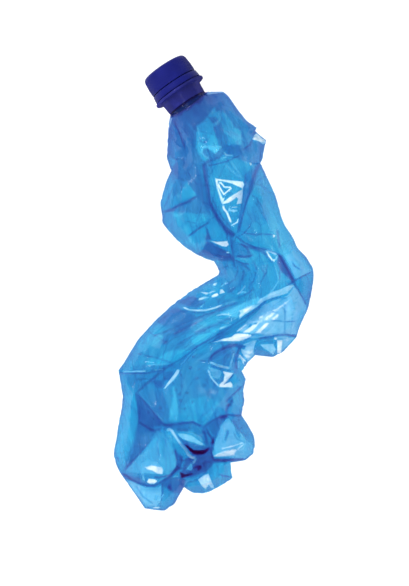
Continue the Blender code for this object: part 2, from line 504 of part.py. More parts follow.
def make_material(name, colour, roughness, alpha=1.0):
    """A Principled material in the part's colour."""
    material = bpy.data.materials.new(name)
    material.use_nodes = True
    shader = material.node_tree.nodes["Principled BSDF"]
    shader.inputs["Base Color"].default_value = (*colour, 1.0)
    shader.inputs["Roughness"].default_value = roughness
    shader.inputs["Metallic"].default_value = 0.0
    shader.inputs["IOR"].default_value = 1.5
    shader.inputs["Alpha"].default_value = alpha
    return material


def make_object(name, points, faces, material, smooth_angle=28.0):
    """A mesh object from points in millimetres, smooth apart from its sharp folds."""
    mesh = bpy.data.meshes.new(name)
    mesh.from_pydata([tuple(float(v) * MM for v in p) for p in points], [], faces)
    mesh.validate()
    mesh.shade_smooth()
    mesh.set_sharp_from_angle(angle=math.radians(smooth_angle))
    mesh.materials.append(material)
    thing = bpy.data.objects.new(name, mesh)
    bpy.context.collection.objects.link(thing)
    return thing


def turned(profile, sides):
    """Points and faces of a solid turned round Z from a closed profile of radius and height.

    The profile runs up the outer side. A point on the axis is one point, and joins its neighbours as a fan.
    """
    points = []
    rings = []
    for radius, height in profile:
        if radius == 0:
            rings.append([len(points)] * sides)
            points.append((0.0, 0.0, height))
            continue
        rings.append(list(range(len(points), len(points) + sides)))
        for k in range(sides):
            angle = 2 * math.pi * k / sides
            points.append((radius * math.cos(angle), radius * math.sin(angle), height))
    faces = []
    for near, far in zip(rings, rings[1:] + rings[:1]):
        if near[0] == near[1] and far[0] == far[1]:
            continue
        for face in join_rings(near, far):
            faces.append(tuple(dict.fromkeys(face)))
    return points, faces


def cap_profile():
    """The cap's section: up the outside, over the rounded corner to the axis, and down the inside."""
    corner = []
    for k in range(1, 6):
        angle = math.radians(90 * k / 5)
        corner.append((CAP_TOP_RADIUS - CAP_CORNER + CAP_CORNER * math.cos(angle),
                       CAP_TOP_S - CAP_CORNER + CAP_CORNER * math.sin(angle)))
    roof = MOUTH_S + 2 * FIT_GAP + LINER_THICKNESS
    return [
        (CAP_FOOT_RADIUS - 0.3, CAP_FOOT_S), (CAP_FOOT_RADIUS, CAP_FOOT_S + 0.3), (CAP_FOOT_RADIUS, CAP_FOOT_S + 4.6),
        (CAP_TOP_RADIUS, CAP_TOP_S - CAP_CORNER), *corner, (0, CAP_TOP_S),
        (0, roof), (CAP_BORE_RADIUS - 0.5, roof), (CAP_BORE_RADIUS, roof - 0.5),
        (CAP_BORE_RADIUS, CAP_FOOT_S + 0.4), (CAP_BORE_RADIUS + 0.3, CAP_FOOT_S),
    ]


def liner_profile():
    """The sealing disc's section."""
    foot = MOUTH_S + FIT_GAP
    return [(0, foot), (LINER_RADIUS, foot), (LINER_RADIUS, foot + LINER_THICKNESS), (0, foot + LINER_THICKNESS)]


def band_profile():
    """The tamper band's section: a ring with a lip turned in at its foot, under the neck's bead."""
    return [
        (BAND_RADIUS - 0.3, BAND_FOOT_S), (BAND_RADIUS, BAND_FOOT_S + 0.4), (BAND_RADIUS - 0.4, BAND_TOP_S - 0.2),
        (BAND_RADIUS - 0.6, BAND_TOP_S), (BAND_BORE_RADIUS, BAND_TOP_S), (BAND_BORE_RADIUS, BAND_FOOT_S + 1.6),
        (BAND_LIP_RADIUS + 0.2, BAND_FOOT_S + 2.3), (BAND_LIP_RADIUS, BAND_FOOT_S + 2.0),
        (BAND_LIP_RADIUS + 0.5, BAND_FOOT_S + 0.3), (BAND_LIP_RADIUS + 0.9, BAND_FOOT_S),
    ]


def make_neck_axis():
    """An empty on the neck's axis at the support ring, whose Z points out of the mouth."""
    right, above, along, centre = neck_frame()
    holder = bpy.data.objects.new("neck_axis", None)
    bpy.context.collection.objects.link(holder)
    centre = (centre - np.array([*ORIGIN, 0.0])) * MM
    turn = Matrix([
        [right[k], -above[k], along[k], centre[k]] for k in range(3)
    ] + [[0, 0, 0, 1]])
    holder.matrix_world = turn
    return holder


def main():
    for thing in list(bpy.data.objects):
        bpy.data.objects.remove(thing)
    clear_blue = make_material("clear_blue_plastic", (0.07, 0.29, 0.62), 0.12, alpha=0.6)
    cap_blue = make_material("cap_blue_plastic", (0.022, 0.026, 0.23), 0.38)
    band_blue = make_material("band_blue_plastic", (0.024, 0.028, 0.25), 0.38)
    liner_white = make_material("liner_plastic", (0.75, 0.77, 0.8), 0.5)

    points, faces = bottle_mesh()
    points = points - np.array([*ORIGIN, 0.0])
    make_object("bottle", points, faces, clear_blue)

    axis = make_neck_axis()
    for name, profile, material in (
        ("cap", cap_profile(), cap_blue),
        ("cap_liner", liner_profile(), liner_white),
        ("tamper_band", band_profile(), band_blue),
    ):
        piece = make_object(name, *turned(profile, CAP_SIDES), material)
        piece.parent = axis


main()
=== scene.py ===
"""Dresses the crushed drinks bottle: its crumpled clear blue shell, screw cap, tamper band and sealing liner.

Places on the bottle are written in millimetres on its drawing, whose x and y are those of the row frame
plus DRAWING_SHIFT. Distances along the neck axis start at the support ring and grow towards the mouth.
"""

import math

import bmesh
import bpy
import numpy as np
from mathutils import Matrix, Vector
from mathutils.geometry import delaunay_2d_cdt


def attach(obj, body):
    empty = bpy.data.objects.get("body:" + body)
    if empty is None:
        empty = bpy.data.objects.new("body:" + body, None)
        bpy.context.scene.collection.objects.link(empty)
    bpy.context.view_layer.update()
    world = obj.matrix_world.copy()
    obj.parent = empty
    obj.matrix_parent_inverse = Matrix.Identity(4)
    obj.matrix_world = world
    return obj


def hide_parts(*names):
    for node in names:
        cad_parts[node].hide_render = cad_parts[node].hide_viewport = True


bl_info = {
    "name": "Crushed bottle",
    "version": (1, 0, 0),
    "blender": (4, 5, 0),
    "location": "3D View > Sidebar > Crushed Bottle",
    "description": "Builds a crumpled clear plastic bottle with its screw cap and a plain studio",
    "category": "Add Mesh",
}

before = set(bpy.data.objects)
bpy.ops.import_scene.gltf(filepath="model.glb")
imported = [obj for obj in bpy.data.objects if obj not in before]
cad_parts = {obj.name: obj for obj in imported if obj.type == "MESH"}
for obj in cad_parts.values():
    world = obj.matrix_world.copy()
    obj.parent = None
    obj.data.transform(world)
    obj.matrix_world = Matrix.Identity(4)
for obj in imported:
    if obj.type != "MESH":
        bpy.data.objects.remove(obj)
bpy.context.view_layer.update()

MM = 0.001
DRAWING_SHIFT = (0.05, 137.7)

# The neck: the support ring's centre, the turn of its axis from +Y and its dip below the level, then its
# radii and its places along the axis. Profiles are pairs of place and radius.
RING_CENTRE = np.array([-20.35, 114.8, 17.5])
NECK_TURN = math.radians(33.9)
NECK_DIP = math.radians(6.0)
ALONG = np.array([
    -math.sin(NECK_TURN) * math.cos(NECK_DIP),
    math.cos(NECK_TURN) * math.cos(NECK_DIP),
    -math.sin(NECK_DIP),
])
RIGHT = np.array([math.cos(NECK_TURN), math.sin(NECK_TURN), 0.0])
ABOVE = np.cross(RIGHT, ALONG)
NECK_FOOT = -9.0
NECK_FOOT_RADIUS = 12.6
BORE_RADIUS = 10.9
MOUTH = 15.3
THREAD_ROOT = 12.45
THREAD_CREST = 13.6
THREAD_PITCH = 2.7
THREAD_START = 6.6
THREAD_END = 14.0
NECK_OUTSIDE = [
    (-8.6, 12.5), (-8.2, 12.4), (-7.4, 12.55), (-6.2, 12.7), (-4.5, 12.8), (-3.0, 13.0), (-1.9, 13.15),
    (-1.4, 13.3), (-1.1, 13.7), (-1.0, 14.4), (-0.92, 15.4), (-0.85, 16.1), (-0.6, 16.42), (-0.3, 16.5),
    (0.3, 16.5), (0.6, 16.42), (0.85, 16.1), (0.92, 15.4), (1.0, 14.2), (1.1, 13.1), (1.4, 12.5),
    (2.6, 12.45), (3.9, 12.45), (4.2, 12.8), (4.4, 13.7), (4.7, 13.9), (5.1, 13.9), (5.4, 13.6), (5.7, 12.5),
]
NECK_INSIDE = [(14.8, THREAD_ROOT), (15.1, 12.3), (MOUTH, 11.9), (MOUTH, 11.3), (15.2, 11.0)]
NECK_INSIDE += [(distance, BORE_RADIUS) for distance in (14.9, 12.0, 8.0, 4.0, 0.0, -3.0, -6.0, -8.0)]

# The closure: where the cap and the band start and end along the neck, and the cap's radii.
CAP_FOOT = 6.0
CAP_TOP = 17.7
CAP_RADIUS = 15.1
CAP_TOP_RADIUS = 14.65
CAP_CORNER = 2.2
CAP_BORE = 13.95
BAND_FOOT = 1.3
BAND_TOP = 5.45
TURNED_SIDES = 180

# The skin: how far it stands off the solid's, how high its outside and inside stay over the floor, the angle
# in degrees below which a fold is smoothed, and the sharpness of an edge that is never smoothed.
SKIN_LIFT = 0.2
OUTER_FLOOR = 0.02
INNER_FLOOR = 0.05
SOFT_ANGLE = 16
ALWAYS_SHARP = 9

# The finer crumpling: how far apart its knots are, and those of its finest share and of where it is rough.
CRUMPLE_SPACING = 14
FINE_SPACING = 6
ROUGH_SPACING = 34

# How much a mark may change over a face before the face is split: the first time and the second.
MARK_STEPS = (0.2, 0.5)

# Haze colours: the neck in its painted shadows and out of them, the painted dark line of shade at its foot,
# and the film's painted sheen and its painted highlights.
NECK_BLUES = ((0.03, 0.035, 0.23), (0.052, 0.06, 0.40))
NECK_LINE = (0.002, 0.002, 0.02)
PAINTED_SHEEN_BLUE = (0.20, 0.68, 0.92)
PAINTED_HIGHLIGHT_WHITE = (0.96, 0.99, 1.0)

# The studio: the floor's half width and the camera's sensor in mm, and in metres the height of the bottle's
# middle, which the lights face and the frame is measured at, and the place that the camera hangs over.
FLOOR_REACH = 4000.0
SENSOR = 36.0
MIDDLE_HEIGHT = 0.02
CAMERA_PLACE = (-0.00545, -0.006)

# Facets of the upper film: tone, partly the film's thickness and partly painted light and shade, from 1 where
# it is stretched thin and painted lighter through -1 where folds lie double and painted shade falls to -2
# where painted shadows are darkest, then painted sheen, from 0 where the film is clear to 1 where a painted
# highlight lies, then the facet's corners. Later facets lie over earlier ones.
FACETS = {
    # the tone that each region starts from
    "whole_shoulder": (-0.42, 0, [(-26, 250), (0, 262), (24, 250), (36, 222), (26, 208), (6, 214), (-8, 204),
        (-30, 205)]),
    "whole_lobe": (-0.1, 0, [(-40, 196), (-24, 200), (-6, 190), (-2, 165), (-14, 155), (-30, 160),
        (-42, 175)]),
    "whole_waist": (0, 0, [(-14, 165), (20, 168), (40, 168), (38, 140), (14, 128), (-14, 128)]),
    "whole_belly": (-0.1, 0, [(-62, 92), (-34, 120), (-10, 132), (14, 126), (30, 128), (10, 110),
        (-20, 90)]),
    "whole_low_belly": (-0.18, 0, [(-48, 88), (-20, 92), (0, 98), (14, 98), (14, 70), (8, 58), (-8, 52),
        (-30, 52), (-46, 72)]),
    # shoulder
    "shoulder_left": (-0.5, 0, [(-24, 236), (-16, 240), (-10, 233), (-10.5, 222), (-11, 215), (-10, 207),
        (-20, 212), (-17, 218), (-19, 223)]),
    "left_nick": (0.25, 0.02, [(-28, 213), (-25.5, 214), (-22.5, 211), (-21, 214), (-23, 209),
        (-25.5, 205)]),
    "shoulder_top": (-0.3, 0, [(6.5, 251), (10, 248), (14, 242), (20, 235), (19, 231), (14, 232), (10, 238),
        (8, 243), (6, 247)]),
    "shoulder_light": (0.15, 0.03, [(4.6, 240), (7.2, 239), (9.9, 235), (12.2, 230.4), (16.4, 228),
        (16.4, 220.4), (8.8, 220), (8.6, 225), (6, 227.3), (4.9, 232.7)]),
    "shoulder_glow": (0.4, 0.1, [(11.3, 226.4), (12.6, 229), (14, 229.6), (15.5, 227.8), (13.8, 226.4)]),
    "shoulder_strip": (-0.5, 0, [(7.6, 240.4), (9.4, 239.6), (12, 235.6), (13.4, 231.4), (12.4, 230.6),
        (10.4, 235)]),
    "cyan_arm": (0.35, 0.02, [(-5.6, 232), (-5.4, 234.8), (-2.8, 237.7), (-1.2, 240.4), (0.8, 243),
        (1.4, 239.6), (3.8, 240.6), (4.4, 237), (4, 234), (0.6, 231), (-2, 230.6)]),
    "shoulder_gap": (-0.4, 0, [(-2.8, 236.4), (-0.6, 237.2), (1.6, 236), (3, 234.2), (0.6, 232.6),
        (-1.4, 233.4)]),
    "shoulder_dark": (-0.4, 0, [(0, 229.6), (2.6, 231), (5, 229), (6.2, 225), (8.4, 224.4), (8.2, 220.4),
        (3.4, 220), (1.8, 224.2)]),
    "cyan_patch": (0.6, 0.03, [(-9.8, 231.4), (-6, 233.8), (-2.4, 232.4), (-0.6, 230.2), (1, 225.7),
        (3.2, 219.6), (-3, 219), (-6, 218), (-7, 214.5), (-3, 211), (-6, 211.2), (-9, 215.4), (-10.6, 220),
        (-9.9, 225)]),
    "cyan_core": (0.9, 0.25, [(-5.5, 218.8), (0, 219), (3.8, 219.3), (3.5, 217), (0.6, 214.8), (-1, 216.5),
        (-3.5, 217.8)]),
    "cyan_hole": (-0.3, 0, [(-5.8, 217.5), (-3.5, 217.7), (-1, 216.3), (0.3, 214.8), (-2, 213),
        (-4.5, 214)]),
    "shoulder_band": (-0.6, 0, [(5.5, 219.3), (9, 219.5), (16, 219), (20, 218), (23.5, 222), (22.5, 216),
        (14, 215), (9, 215.5), (6, 217.5)]),
    "flap": (-0.35, 0, [(17, 229), (20, 230), (24.5, 229), (23.5, 224), (21, 219), (18, 219), (17, 224)]),
    "torn_fold": (0.4, 0.85, [(24.2, 226.2), (26.2, 227.6), (29.4, 223.9), (30.8, 224), (31, 221.6),
        (29.6, 221), (27, 222.4), (23, 223.3)]),
    # window and lobe
    "diagonal_band": (-0.55, 0, [(-22, 214), (-12, 207.5), (-7, 204), (-5.5, 196), (-4.8, 189), (-3, 183.5),
        (-2, 177), (-5.5, 183), (-10.2, 189.6), (-16.6, 198.8), (-18.5, 196.5), (-21, 197), (-23.5, 203),
        (-23.5, 208)]),
    "lobe_shade": (-0.4, 0, [(-22.5, 198), (-17, 199), (-20, 191), (-24, 190)]),
    "lobe_triangle": (0.4, 0.02, [(-16.8, 198.8), (-10.4, 190.2), (-20, 187.2), (-20.3, 191.5)]),
    "lobe_fold": (-0.3, 0, [(-28.5, 182), (-20, 184.4), (-10, 189.2), (-5.5, 183), (-4, 179), (-12, 178.6),
        (-20, 179.6), (-26, 180.6)]),
    "lobe_cyan": (0.45, 0.02, [(-25.5, 179.6), (-20, 179.4), (-4, 178.4), (-2.5, 175.2), (-8, 171.5),
        (-15, 165.3), (-17, 166.5), (-19.5, 171), (-22.5, 176.5)]),
    "lobe_left": (-0.2, 0, [(-30, 181), (-26, 180), (-23, 176), (-27, 174.5), (-29.5, 177)]),
    "lobe_low": (0.4, 0, [(-15, 164.8), (-8, 170.6), (-4.5, 171.5), (-5, 164.5), (-5.5, 161), (-11, 158),
        (-17, 161)]),
    "lobe_rim": (0.25, 0.02, [(-30, 185), (-27, 189), (-22.5, 197), (-24, 203), (-26, 204.5), (-28.5, 198),
        (-30.5, 190)]),
    "cone": (0.5, 0.05, [(-2.2, 176.4), (0.5, 173.5), (5.5, 167), (7.8, 163.4), (-1.4, 163.6), (-3, 168.5)]),
    "cone_shade": (-0.9, 0, [(-4.8, 171.5), (-3, 168.5), (-1.4, 164), (-2.5, 163), (-4.8, 163.6),
        (-4, 167)]),
    "window_corner": (-0.3, 0, [(-4.5, 208), (-1, 208.8), (0, 205), (-2, 200), (-3.4, 201)]),
    "strap": (-0.4, 0, [(19.5, 203.5), (28, 209.2), (24.6, 198), (22, 190), (18, 178), (15.8, 168),
        (14, 168), (15.6, 176), (17.4, 187), (18.4, 196)]),
    "strap_edge": (-0.65, 0, [(25, 207), (28.3, 209), (24.6, 198), (22, 190), (20.2, 189), (22, 197)]),
    "right_low": (0.2, 0.06, [(16.2, 168), (18.8, 168.5), (19.5, 175), (22.5, 184), (24, 189), (22.4, 191),
        (18.5, 178.5)]),
    "right_top": (0.15, 0.08, [(23.4, 191), (27, 189), (35, 189), (36.5, 191), (32.5, 197), (27, 197),
        (25, 198.5)]),
    "right_streak": (0.4, 0.3, [(27, 204), (28.3, 206.5), (30.5, 200), (32.2, 194.5), (29.5, 196.5)]),
    "right_dark": (-0.15, 0, [(24.5, 188), (32, 185), (32, 175), (21, 175.5)]),
    "right_pale": (0.1, 0.08, [(31, 184), (34.5, 190), (36.8, 190), (40, 179), (38, 171), (34, 174),
        (32.5, 176)]),
    "window_frame": (-0.85, 0, [(-6.5, 208.5), (-4.3, 208.5), (-3.4, 202), (-2.2, 194), (-1.6, 187),
        (1.5, 180.5), (6.5, 173), (13.5, 167), (11, 164.5), (6, 169), (1, 176), (-3, 184), (-4.8, 189),
        (-5.5, 197)]),
    # waist and elbow
    "waist_glow": (0.15, 0.02, [(22, 158), (31, 151), (36, 148), (38, 138), (32, 131), (26, 131), (22, 140),
        (21, 147), (16, 152)]),
    "waist_shade": (-0.25, 0, [(3, 150), (12, 151), (20, 149), (22, 146), (20, 142), (16, 136), (10, 131),
        (5, 134), (4, 140), (3.5, 145)]),
    "waist_dark": (-0.85, 0, [(-4, 163), (0, 161), (5, 158), (10, 155.5), (12, 153), (12.5, 151), (5, 150.6),
        (2, 151.5), (-3, 152.8), (-10, 155), (-6, 158)]),
    "hub": (-0.3, 0, [(10, 165), (16, 161), (22, 157), (24, 154), (22, 153), (14, 153), (12, 152),
        (11, 158)]),
    "long_wedge": (-0.8, 0, [(15, 161.5), (20, 160), (25, 159), (30, 157), (33, 153), (35, 150), (33, 152.5),
        (29, 156), (24, 157.5), (18, 159.5)]),
    "elbow_top_rim": (0.15, 0.14, [(40.5, 160), (47, 165.5), (50.5, 158.5), (55.5, 153), (59.6, 146),
        (59.6, 144.8), (50, 139.6), (48.5, 139.5), (44, 149), (41, 154)]),
    "elbow_top": (0.15, 0.25, [(41.6, 157), (47.6, 161.6), (51, 157), (55, 151.5), (58.8, 145.4),
        (58.8, 144.6), (50, 139.9), (48.6, 140.2), (44.6, 148.8), (41.8, 153.6)]),
    "elbow_top_pale": (0.2, 0.36, [(43, 153.6), (48, 157.6), (51, 154.6), (54, 150), (57.4, 145.4),
        (57.4, 144.2), (50.2, 140.3), (49, 141), (45.4, 148.6), (43, 152.6)]),
    "elbow_between": (0.15, 0.1, [(40, 144.5), (45.5, 140), (46.5, 138), (42, 136.5), (39.5, 138)]),
    "elbow_plain": (0.2, 0.41, [(20, 115.6), (25, 119.6), (30, 125), (36, 127.6), (44, 130.4), (47, 134),
        (48, 136), (50, 130), (47, 118), (46, 106), (36, 106), (28, 107.2), (22, 107.6), (16, 108),
        (14, 110), (18, 113)]),
    "elbow_right": (0.2, 0.4, [(48, 136), (50, 134), (53, 129.5), (55.8, 124), (55.5, 119), (53, 113.5),
        (50, 107), (46, 106), (47, 118), (50, 130)]),
    "elbow_strap": (-0.95, 0, [(39, 154.8), (41, 154), (45.5, 146), (48.2, 140), (47.6, 138), (46, 139.5),
        (40, 145), (38, 150)]),
    "belly_light": (0.7, 0.26, [(3, 119.5), (10, 122.5), (18, 126), (27, 129.5), (29, 128), (24, 124.5),
        (16, 121), (14, 117), (9, 117.6)]),
    "ridge_high": (0.4, 0.5, [(46.8, 136.6), (48, 136), (44, 131.5), (40, 130.3), (35, 129), (30, 126.8),
        (27, 127), (28.8, 128.6), (34, 132), (40, 134), (44, 136)]),
    "ridge_low": (0.4, 0.5, [(28.5, 128.8), (30, 126.6), (26, 123.6), (20, 120.2), (16, 117), (15, 117.5),
        (16, 119.6), (15.5, 120.7), (20, 123.5), (25, 125)]),
    "ridge_glint": (0.3, 0.7, [(15.2, 121), (18.3, 122), (21.3, 122.9), (24.4, 123.8), (27, 124.7),
        (24.4, 122.4), (22.3, 121.2), (20.4, 119.7), (18.3, 118.8), (16.2, 116.7), (15.1, 115.6),
        (15.7, 119.2), (17.6, 120), (19, 120.8), (16.6, 120.4)]),
    "fan": (0.3, 0.35, [(13.4, 130.2), (15.6, 131.2), (20.6, 131.8), (17.6, 133.2), (16, 132.6)]),
    # hem
    "hem_pale": (0.3, 0.49, [(27, 101), (36, 101.4), (37.5, 98), (36, 94.5), (28.6, 99.6)]),
    "hem_light": (0.3, 0.53, [(17, 101), (24, 103.8), (26, 104), (24.4, 99), (24.4, 95), (20.5, 90.6),
        (17, 96), (19, 99)]),
    "hem_right": (0.3, 0.4, [(37, 105.5), (49, 105), (45, 100), (41, 97)]),
    "hem_shade": (-0.05, 0.2, [(10, 103), (16, 103), (20, 104.4), (24, 105.4), (36, 105.2), (36.5, 102.5),
        (30, 102.8), (26, 104), (20, 102.6), (14, 101.6)]),
    "hem_dark": (-0.2, 0.12, [(24.6, 99.6), (28, 99.8), (34, 95.4), (35.4, 93.6), (25, 94.8), (24.4, 96.4)]),
    "hem_stem": (0.2, 0.9, [(38.1, 103.9), (38.2, 95.4), (40.6, 95.8), (41, 100), (41.1, 103.7)]),
    "hem_bar": (0.3, 0.45, [(36.2, 104.4), (36.8, 106), (40, 106.2), (44.6, 105.6), (45.6, 103.4),
        (41, 103.4), (37.4, 103.4)]),
    "hem_spot": (0.3, 0.95, [(36.1, 104.2), (36.4, 105.2), (38, 105), (38, 103.9), (37, 103.7)]),
    "hem_patch": (0.3, 0.6, [(16.4, 98.6), (18.4, 98), (20.4, 96.8), (19.6, 95.6), (17, 96)]),
    "hem_dot": (0.3, 0.8, [(19.1, 94.6), (20.3, 94.7), (22.2, 93.8), (21, 93.2), (19.6, 93.4)]),
    "hem_cyan": (0.8, 0.06, [(15.6, 90), (17.2, 90.6), (18, 88), (17.8, 84), (15.6, 84)]),
    "hub_low": (-0.75, 0, [(10, 101.6), (16, 101.6), (19.4, 99.6), (16.4, 98.6), (12, 99.8), (4, 97),
        (0, 94.4), (-2, 92), (-3, 92.5), (0, 96.5), (6, 100)]),
    # crinkles above the hem
    "lens": (0.3, 0.95, [(-1.6, 101.8), (5, 103.1), (10, 103.1), (15.2, 103.1), (17.3, 103.8), (19.5, 104.7),
        (22.7, 106.2), (22.2, 107.1), (19.2, 107.3), (14.6, 107.5), (12.8, 107.1), (10.6, 105.4),
        (6, 104.3)]),
    "lens_fleck_a": (-0.2, 0.2, [(18.8, 107.7), (19.9, 107.5), (19.5, 106.8)]),
    "lens_fleck_b": (-0.2, 0.2, [(20.4, 107.6), (21.7, 107.5), (21.2, 106.7)]),
    "hem_glow": (0.3, 0.45, [(20.4, 105.2), (23.4, 106.8), (32, 107), (38, 107.2), (37, 106.2), (30, 105.4),
        (24, 104.8)]),
    "crinkle_band": (0.3, 0.6, [(20, 113.6), (20.7, 115), (29.6, 115.4), (29, 114.2), (26, 113.9),
        (23, 113.8)]),
    "crinkle_a": (0.3, 0.95, [(17.8, 108.1), (19.5, 109.6), (21.3, 110.6), (23.2, 112.2), (25.6, 113.4),
        (27.6, 114.3), (25.7, 112), (24.4, 110.4), (23.2, 109.2), (21.3, 108.1)]),
    "crinkle_fleck_a": (-0.4, 0.06, [(21, 111.2), (21.6, 112.8), (22.9, 112.9), (22.3, 111.6)]),
    "crinkle_fleck_b": (-0.2, 0.15, [(24.3, 113), (24.8, 113.9), (26, 113.8), (25.6, 113)]),
    "crinkle_pane": (0.3, 0.5, [(27.2, 115.2), (27.6, 117.2), (29.4, 118.2), (33, 120.2), (36.8, 120),
        (38.4, 118.6), (35.2, 115.2)]),
    "crinkle_c": (0.3, 0.95, [(30.7, 115.5), (31.5, 117), (33.6, 118.3), (34.7, 119.6), (36.5, 119.6),
        (35.4, 118.4), (33.6, 116.8), (32.3, 115.6)]),
    "crinkle_d": (0.3, 0.9, [(35, 115.3), (35.4, 116.6), (37.2, 118), (38, 118.9), (38.7, 118.6),
        (38.2, 117.5), (36.7, 115.9)]),
    "crinkle_e": (0.3, 0.85, [(27.2, 116.4), (27.8, 117.6), (29.4, 118), (29.2, 117), (28.2, 116.8)]),
    "crinkle_f": (0.3, 0.9, [(25, 108.3), (26.2, 109.1), (27.5, 110.3), (29.6, 112.2), (31.4, 113.7),
        (32.8, 113.7), (30.3, 110.8), (28.6, 109.2), (28.2, 108.3)]),
    "elbow_glint": (0.3, 0.72, [(35.2, 121.2), (37.9, 122), (39.6, 123.6), (41.6, 124.8), (42.4, 126),
        (43.7, 126.3), (46, 128.2), (43.2, 125), (40.7, 123.4), (38.3, 121.2), (36.7, 120.6)]),
    # belly
    "belly_edge": (-0.6, 0, [(-21, 126), (-13, 130), (-5, 127), (-5.6, 123.4), (-12, 123), (-17, 124.4)]),
    "belly_left": (-0.5, 0, [(-34, 114.6), (-27, 121.5), (-22, 122.8), (-16, 120.6), (-10, 117.6),
        (-20, 111.8), (-28, 111)]),
    "belly_stripes": (-0.3, 0, [(-28, 111), (-20, 111.8), (-10, 117.6), (-4, 119.6), (2, 121), (-4, 117.4),
        (-12, 111.6), (-20, 106), (-31, 101), (-34, 104)]),
    "belly_far_left": (0.15, 0, [(-47, 100), (-40, 110), (-34, 112), (-30, 105), (-34, 101), (-42, 97)]),
    "belly_cyan_high": (0.35, 0, [(-9.8, 114), (-4.4, 118.6), (2, 118.4), (9, 117.6), (8, 114.6), (1, 112.4),
        (-4, 111.6)]),
    "belly_cyan_mid": (0.85, 0.08, [(-4, 110.4), (2, 110.6), (5, 112), (10, 113), (2.6, 108), (0.8, 107.4),
        (-2, 108.6)]),
    "belly_cyan_low": (1.1, 0.1, [(-13.4, 104.6), (-11.4, 107.6), (-5.6, 107.6), (-1.4, 108.4), (0.6, 107.4),
        (-4.4, 103.4), (-9, 100.4), (-11.6, 101.4)]),
    "left_fleck": (0.7, 0.1, [(-39.8, 102.4), (-38.6, 102.4), (-38.4, 105.4), (-39.4, 107.2), (-40, 105)]),
    "flat_cyan": (0.8, 0.05, [(-40, 91), (-33, 93), (-26, 97), (-16, 98), (-12, 97), (-22, 90), (-30, 89),
        (-40, 89)]),
    "flat_cyan_core": (1, 0.12, [(-33, 92), (-29, 96), (-25, 96.6), (-25.5, 93), (-29, 91.5)]),
    "waist_glint_a": (0.2, 0.7, [(-9, 132.2), (-7, 131.6), (-4.6, 130.6), (-1.6, 131.6), (1.6, 133),
        (-0.6, 132.8), (-3, 131.8), (-6, 132.2)]),
    "waist_glint_b": (0.2, 0.6, [(-9, 127.2), (-7, 127.6), (-3.6, 128.8), (-2.6, 129.2), (-5, 129.6),
        (-8.6, 128.6)]),
    "waist_glint_c": (0.2, 1, [(-1, 129), (1.4, 129.6), (3, 130.4), (2.4, 131.6), (0.4, 131), (-1, 130)]),
    "waist_glint_d": (0.2, 0.75, [(3.6, 131), (6.8, 132), (5.2, 134), (4, 133.6)]),
    "waist_glint_e": (0.2, 0.8, [(-0.6, 136.4), (1.2, 136), (2.4, 137.8), (0.6, 137.6)]),
    "waist_glint_f": (0.2, 0.4, [(-4, 136.2), (-2, 136.4), (-2.8, 137.2)]),
    "waist_glint_g": (0.2, 0.4, [(-8.8, 123), (-6.8, 123), (-5.6, 125.4), (-6.8, 124.4)]),
    # lower belly
    "corner_shade": (-0.25, 0, [(-56, 84), (-40, 83.6), (-30, 85), (-24, 84.4), (-28, 80), (-30, 77),
        (-36, 76), (-45, 72), (-50, 76), (-53, 82)]),
    "corner_dark": (-0.55, 0, [(-30, 84.6), (-23.6, 84.6), (-26.4, 80.4), (-30, 78)]),
    "corner_hollow": (-0.7, 0, [(-37, 79), (-31, 79.6), (-29.4, 75.4), (-34, 75)]),
    "belly_calm": (-0.2, 0, [(-19, 86), (-10, 96), (-4, 95), (-4, 86), (-2, 80), (-8, 72), (-18, 70)]),
    "belly_lit": (0.25, 0.01, [(-20, 56), (-8, 52.6), (-6, 52), (-1, 60), (3, 66), (-4, 70), (-14, 68),
        (-19, 62)]),
    "streak": (0.9, 0.2, [(-24.6, 76), (-23, 76), (-21.4, 64), (-21, 55), (-26.6, 55), (-26, 61),
        (-24.6, 66)]),
    "branch": (0.3, 0.6, [(-20, 86.2), (-20.6, 84), (-23, 80.6), (-28.6, 74.6), (-29.6, 74.4), (-27, 78.6),
        (-23.6, 83), (-21.8, 86)]),
    "triangle_shade": (-0.35, 0, [(-46, 72), (-38, 74.5), (-31, 73), (-28.6, 66), (-29, 60), (-30.5, 55.5),
        (-36, 61), (-40.4, 66)]),
    "triangle_dark": (-0.85, 0, [(-46.4, 72), (-40.4, 66), (-36, 60.6), (-30, 54), (-28, 52.4), (-37, 51),
        (-42, 52.6), (-44.4, 56), (-45.2, 64)]),
    "left_side": (0.55, 0.12, [(-54.6, 70), (-45.8, 71), (-45, 62), (-44.6, 54), (-47, 45), (-53, 28),
        (-58, 30), (-59.3, 35), (-57, 52)]),
    "left_waist": (0.4, 0.06, [(-56, 83), (-52, 72), (-54.4, 70), (-56, 76)]),
    "pocket": (0.35, 0.35, [(-3.4, 88), (0, 87), (4.8, 85.8), (5.2, 84), (3.8, 81.2), (2, 80),
        (-0.8, 81.4)]),
    "pocket_white": (0.3, 1, [(5.8, 85.2), (11.8, 84), (10.6, 82.4), (8.8, 79.4), (6.4, 77), (10, 78.4),
        (11.4, 77), (11.4, 75.4), (3.4, 75.6), (3.4, 77), (5.8, 79), (6.6, 82.6)]),
    "right_waist_high": (0.1, 0.18, [(12, 83), (16.8, 84.8), (19, 79), (17, 76), (11, 75.6)]),
    "right_waist_low": (0.1, 0.2, [(17.4, 75.6), (18, 66.5), (16.6, 61), (12, 66), (11.6, 69.6)]),
    "pinch_a": (-1.2, 0, [(9.6, 67), (11.4, 68.4), (11.4, 66.4), (10.6, 66.2)]),
    "pinch_b": (-1.2, 0, [(7.4, 64), (9, 65.6), (10.4, 65), (8, 63.8)]),
    # feet of the base
    "side_facet": (-0.55, 0, [(-44.6, 55), (-36, 49.6), (-32, 49.5), (-52.6, 25.6), (-50.6, 31),
        (-46.6, 46)]),
    "side_facet_top": (-0.85, 0, [(-44.4, 55), (-36, 50.6), (-31, 51), (-34, 47.6), (-40, 50)]),
    "foot_a": (0.25, 0.21, [(-33.5, 49.2), (-30, 48), (-26, 42), (-23.6, 37.5), (-22, 33), (-22, 29),
        (-25, 25.4), (-31, 23.5), (-42, 23.5), (-53, 24.6), (-40, 40)]),
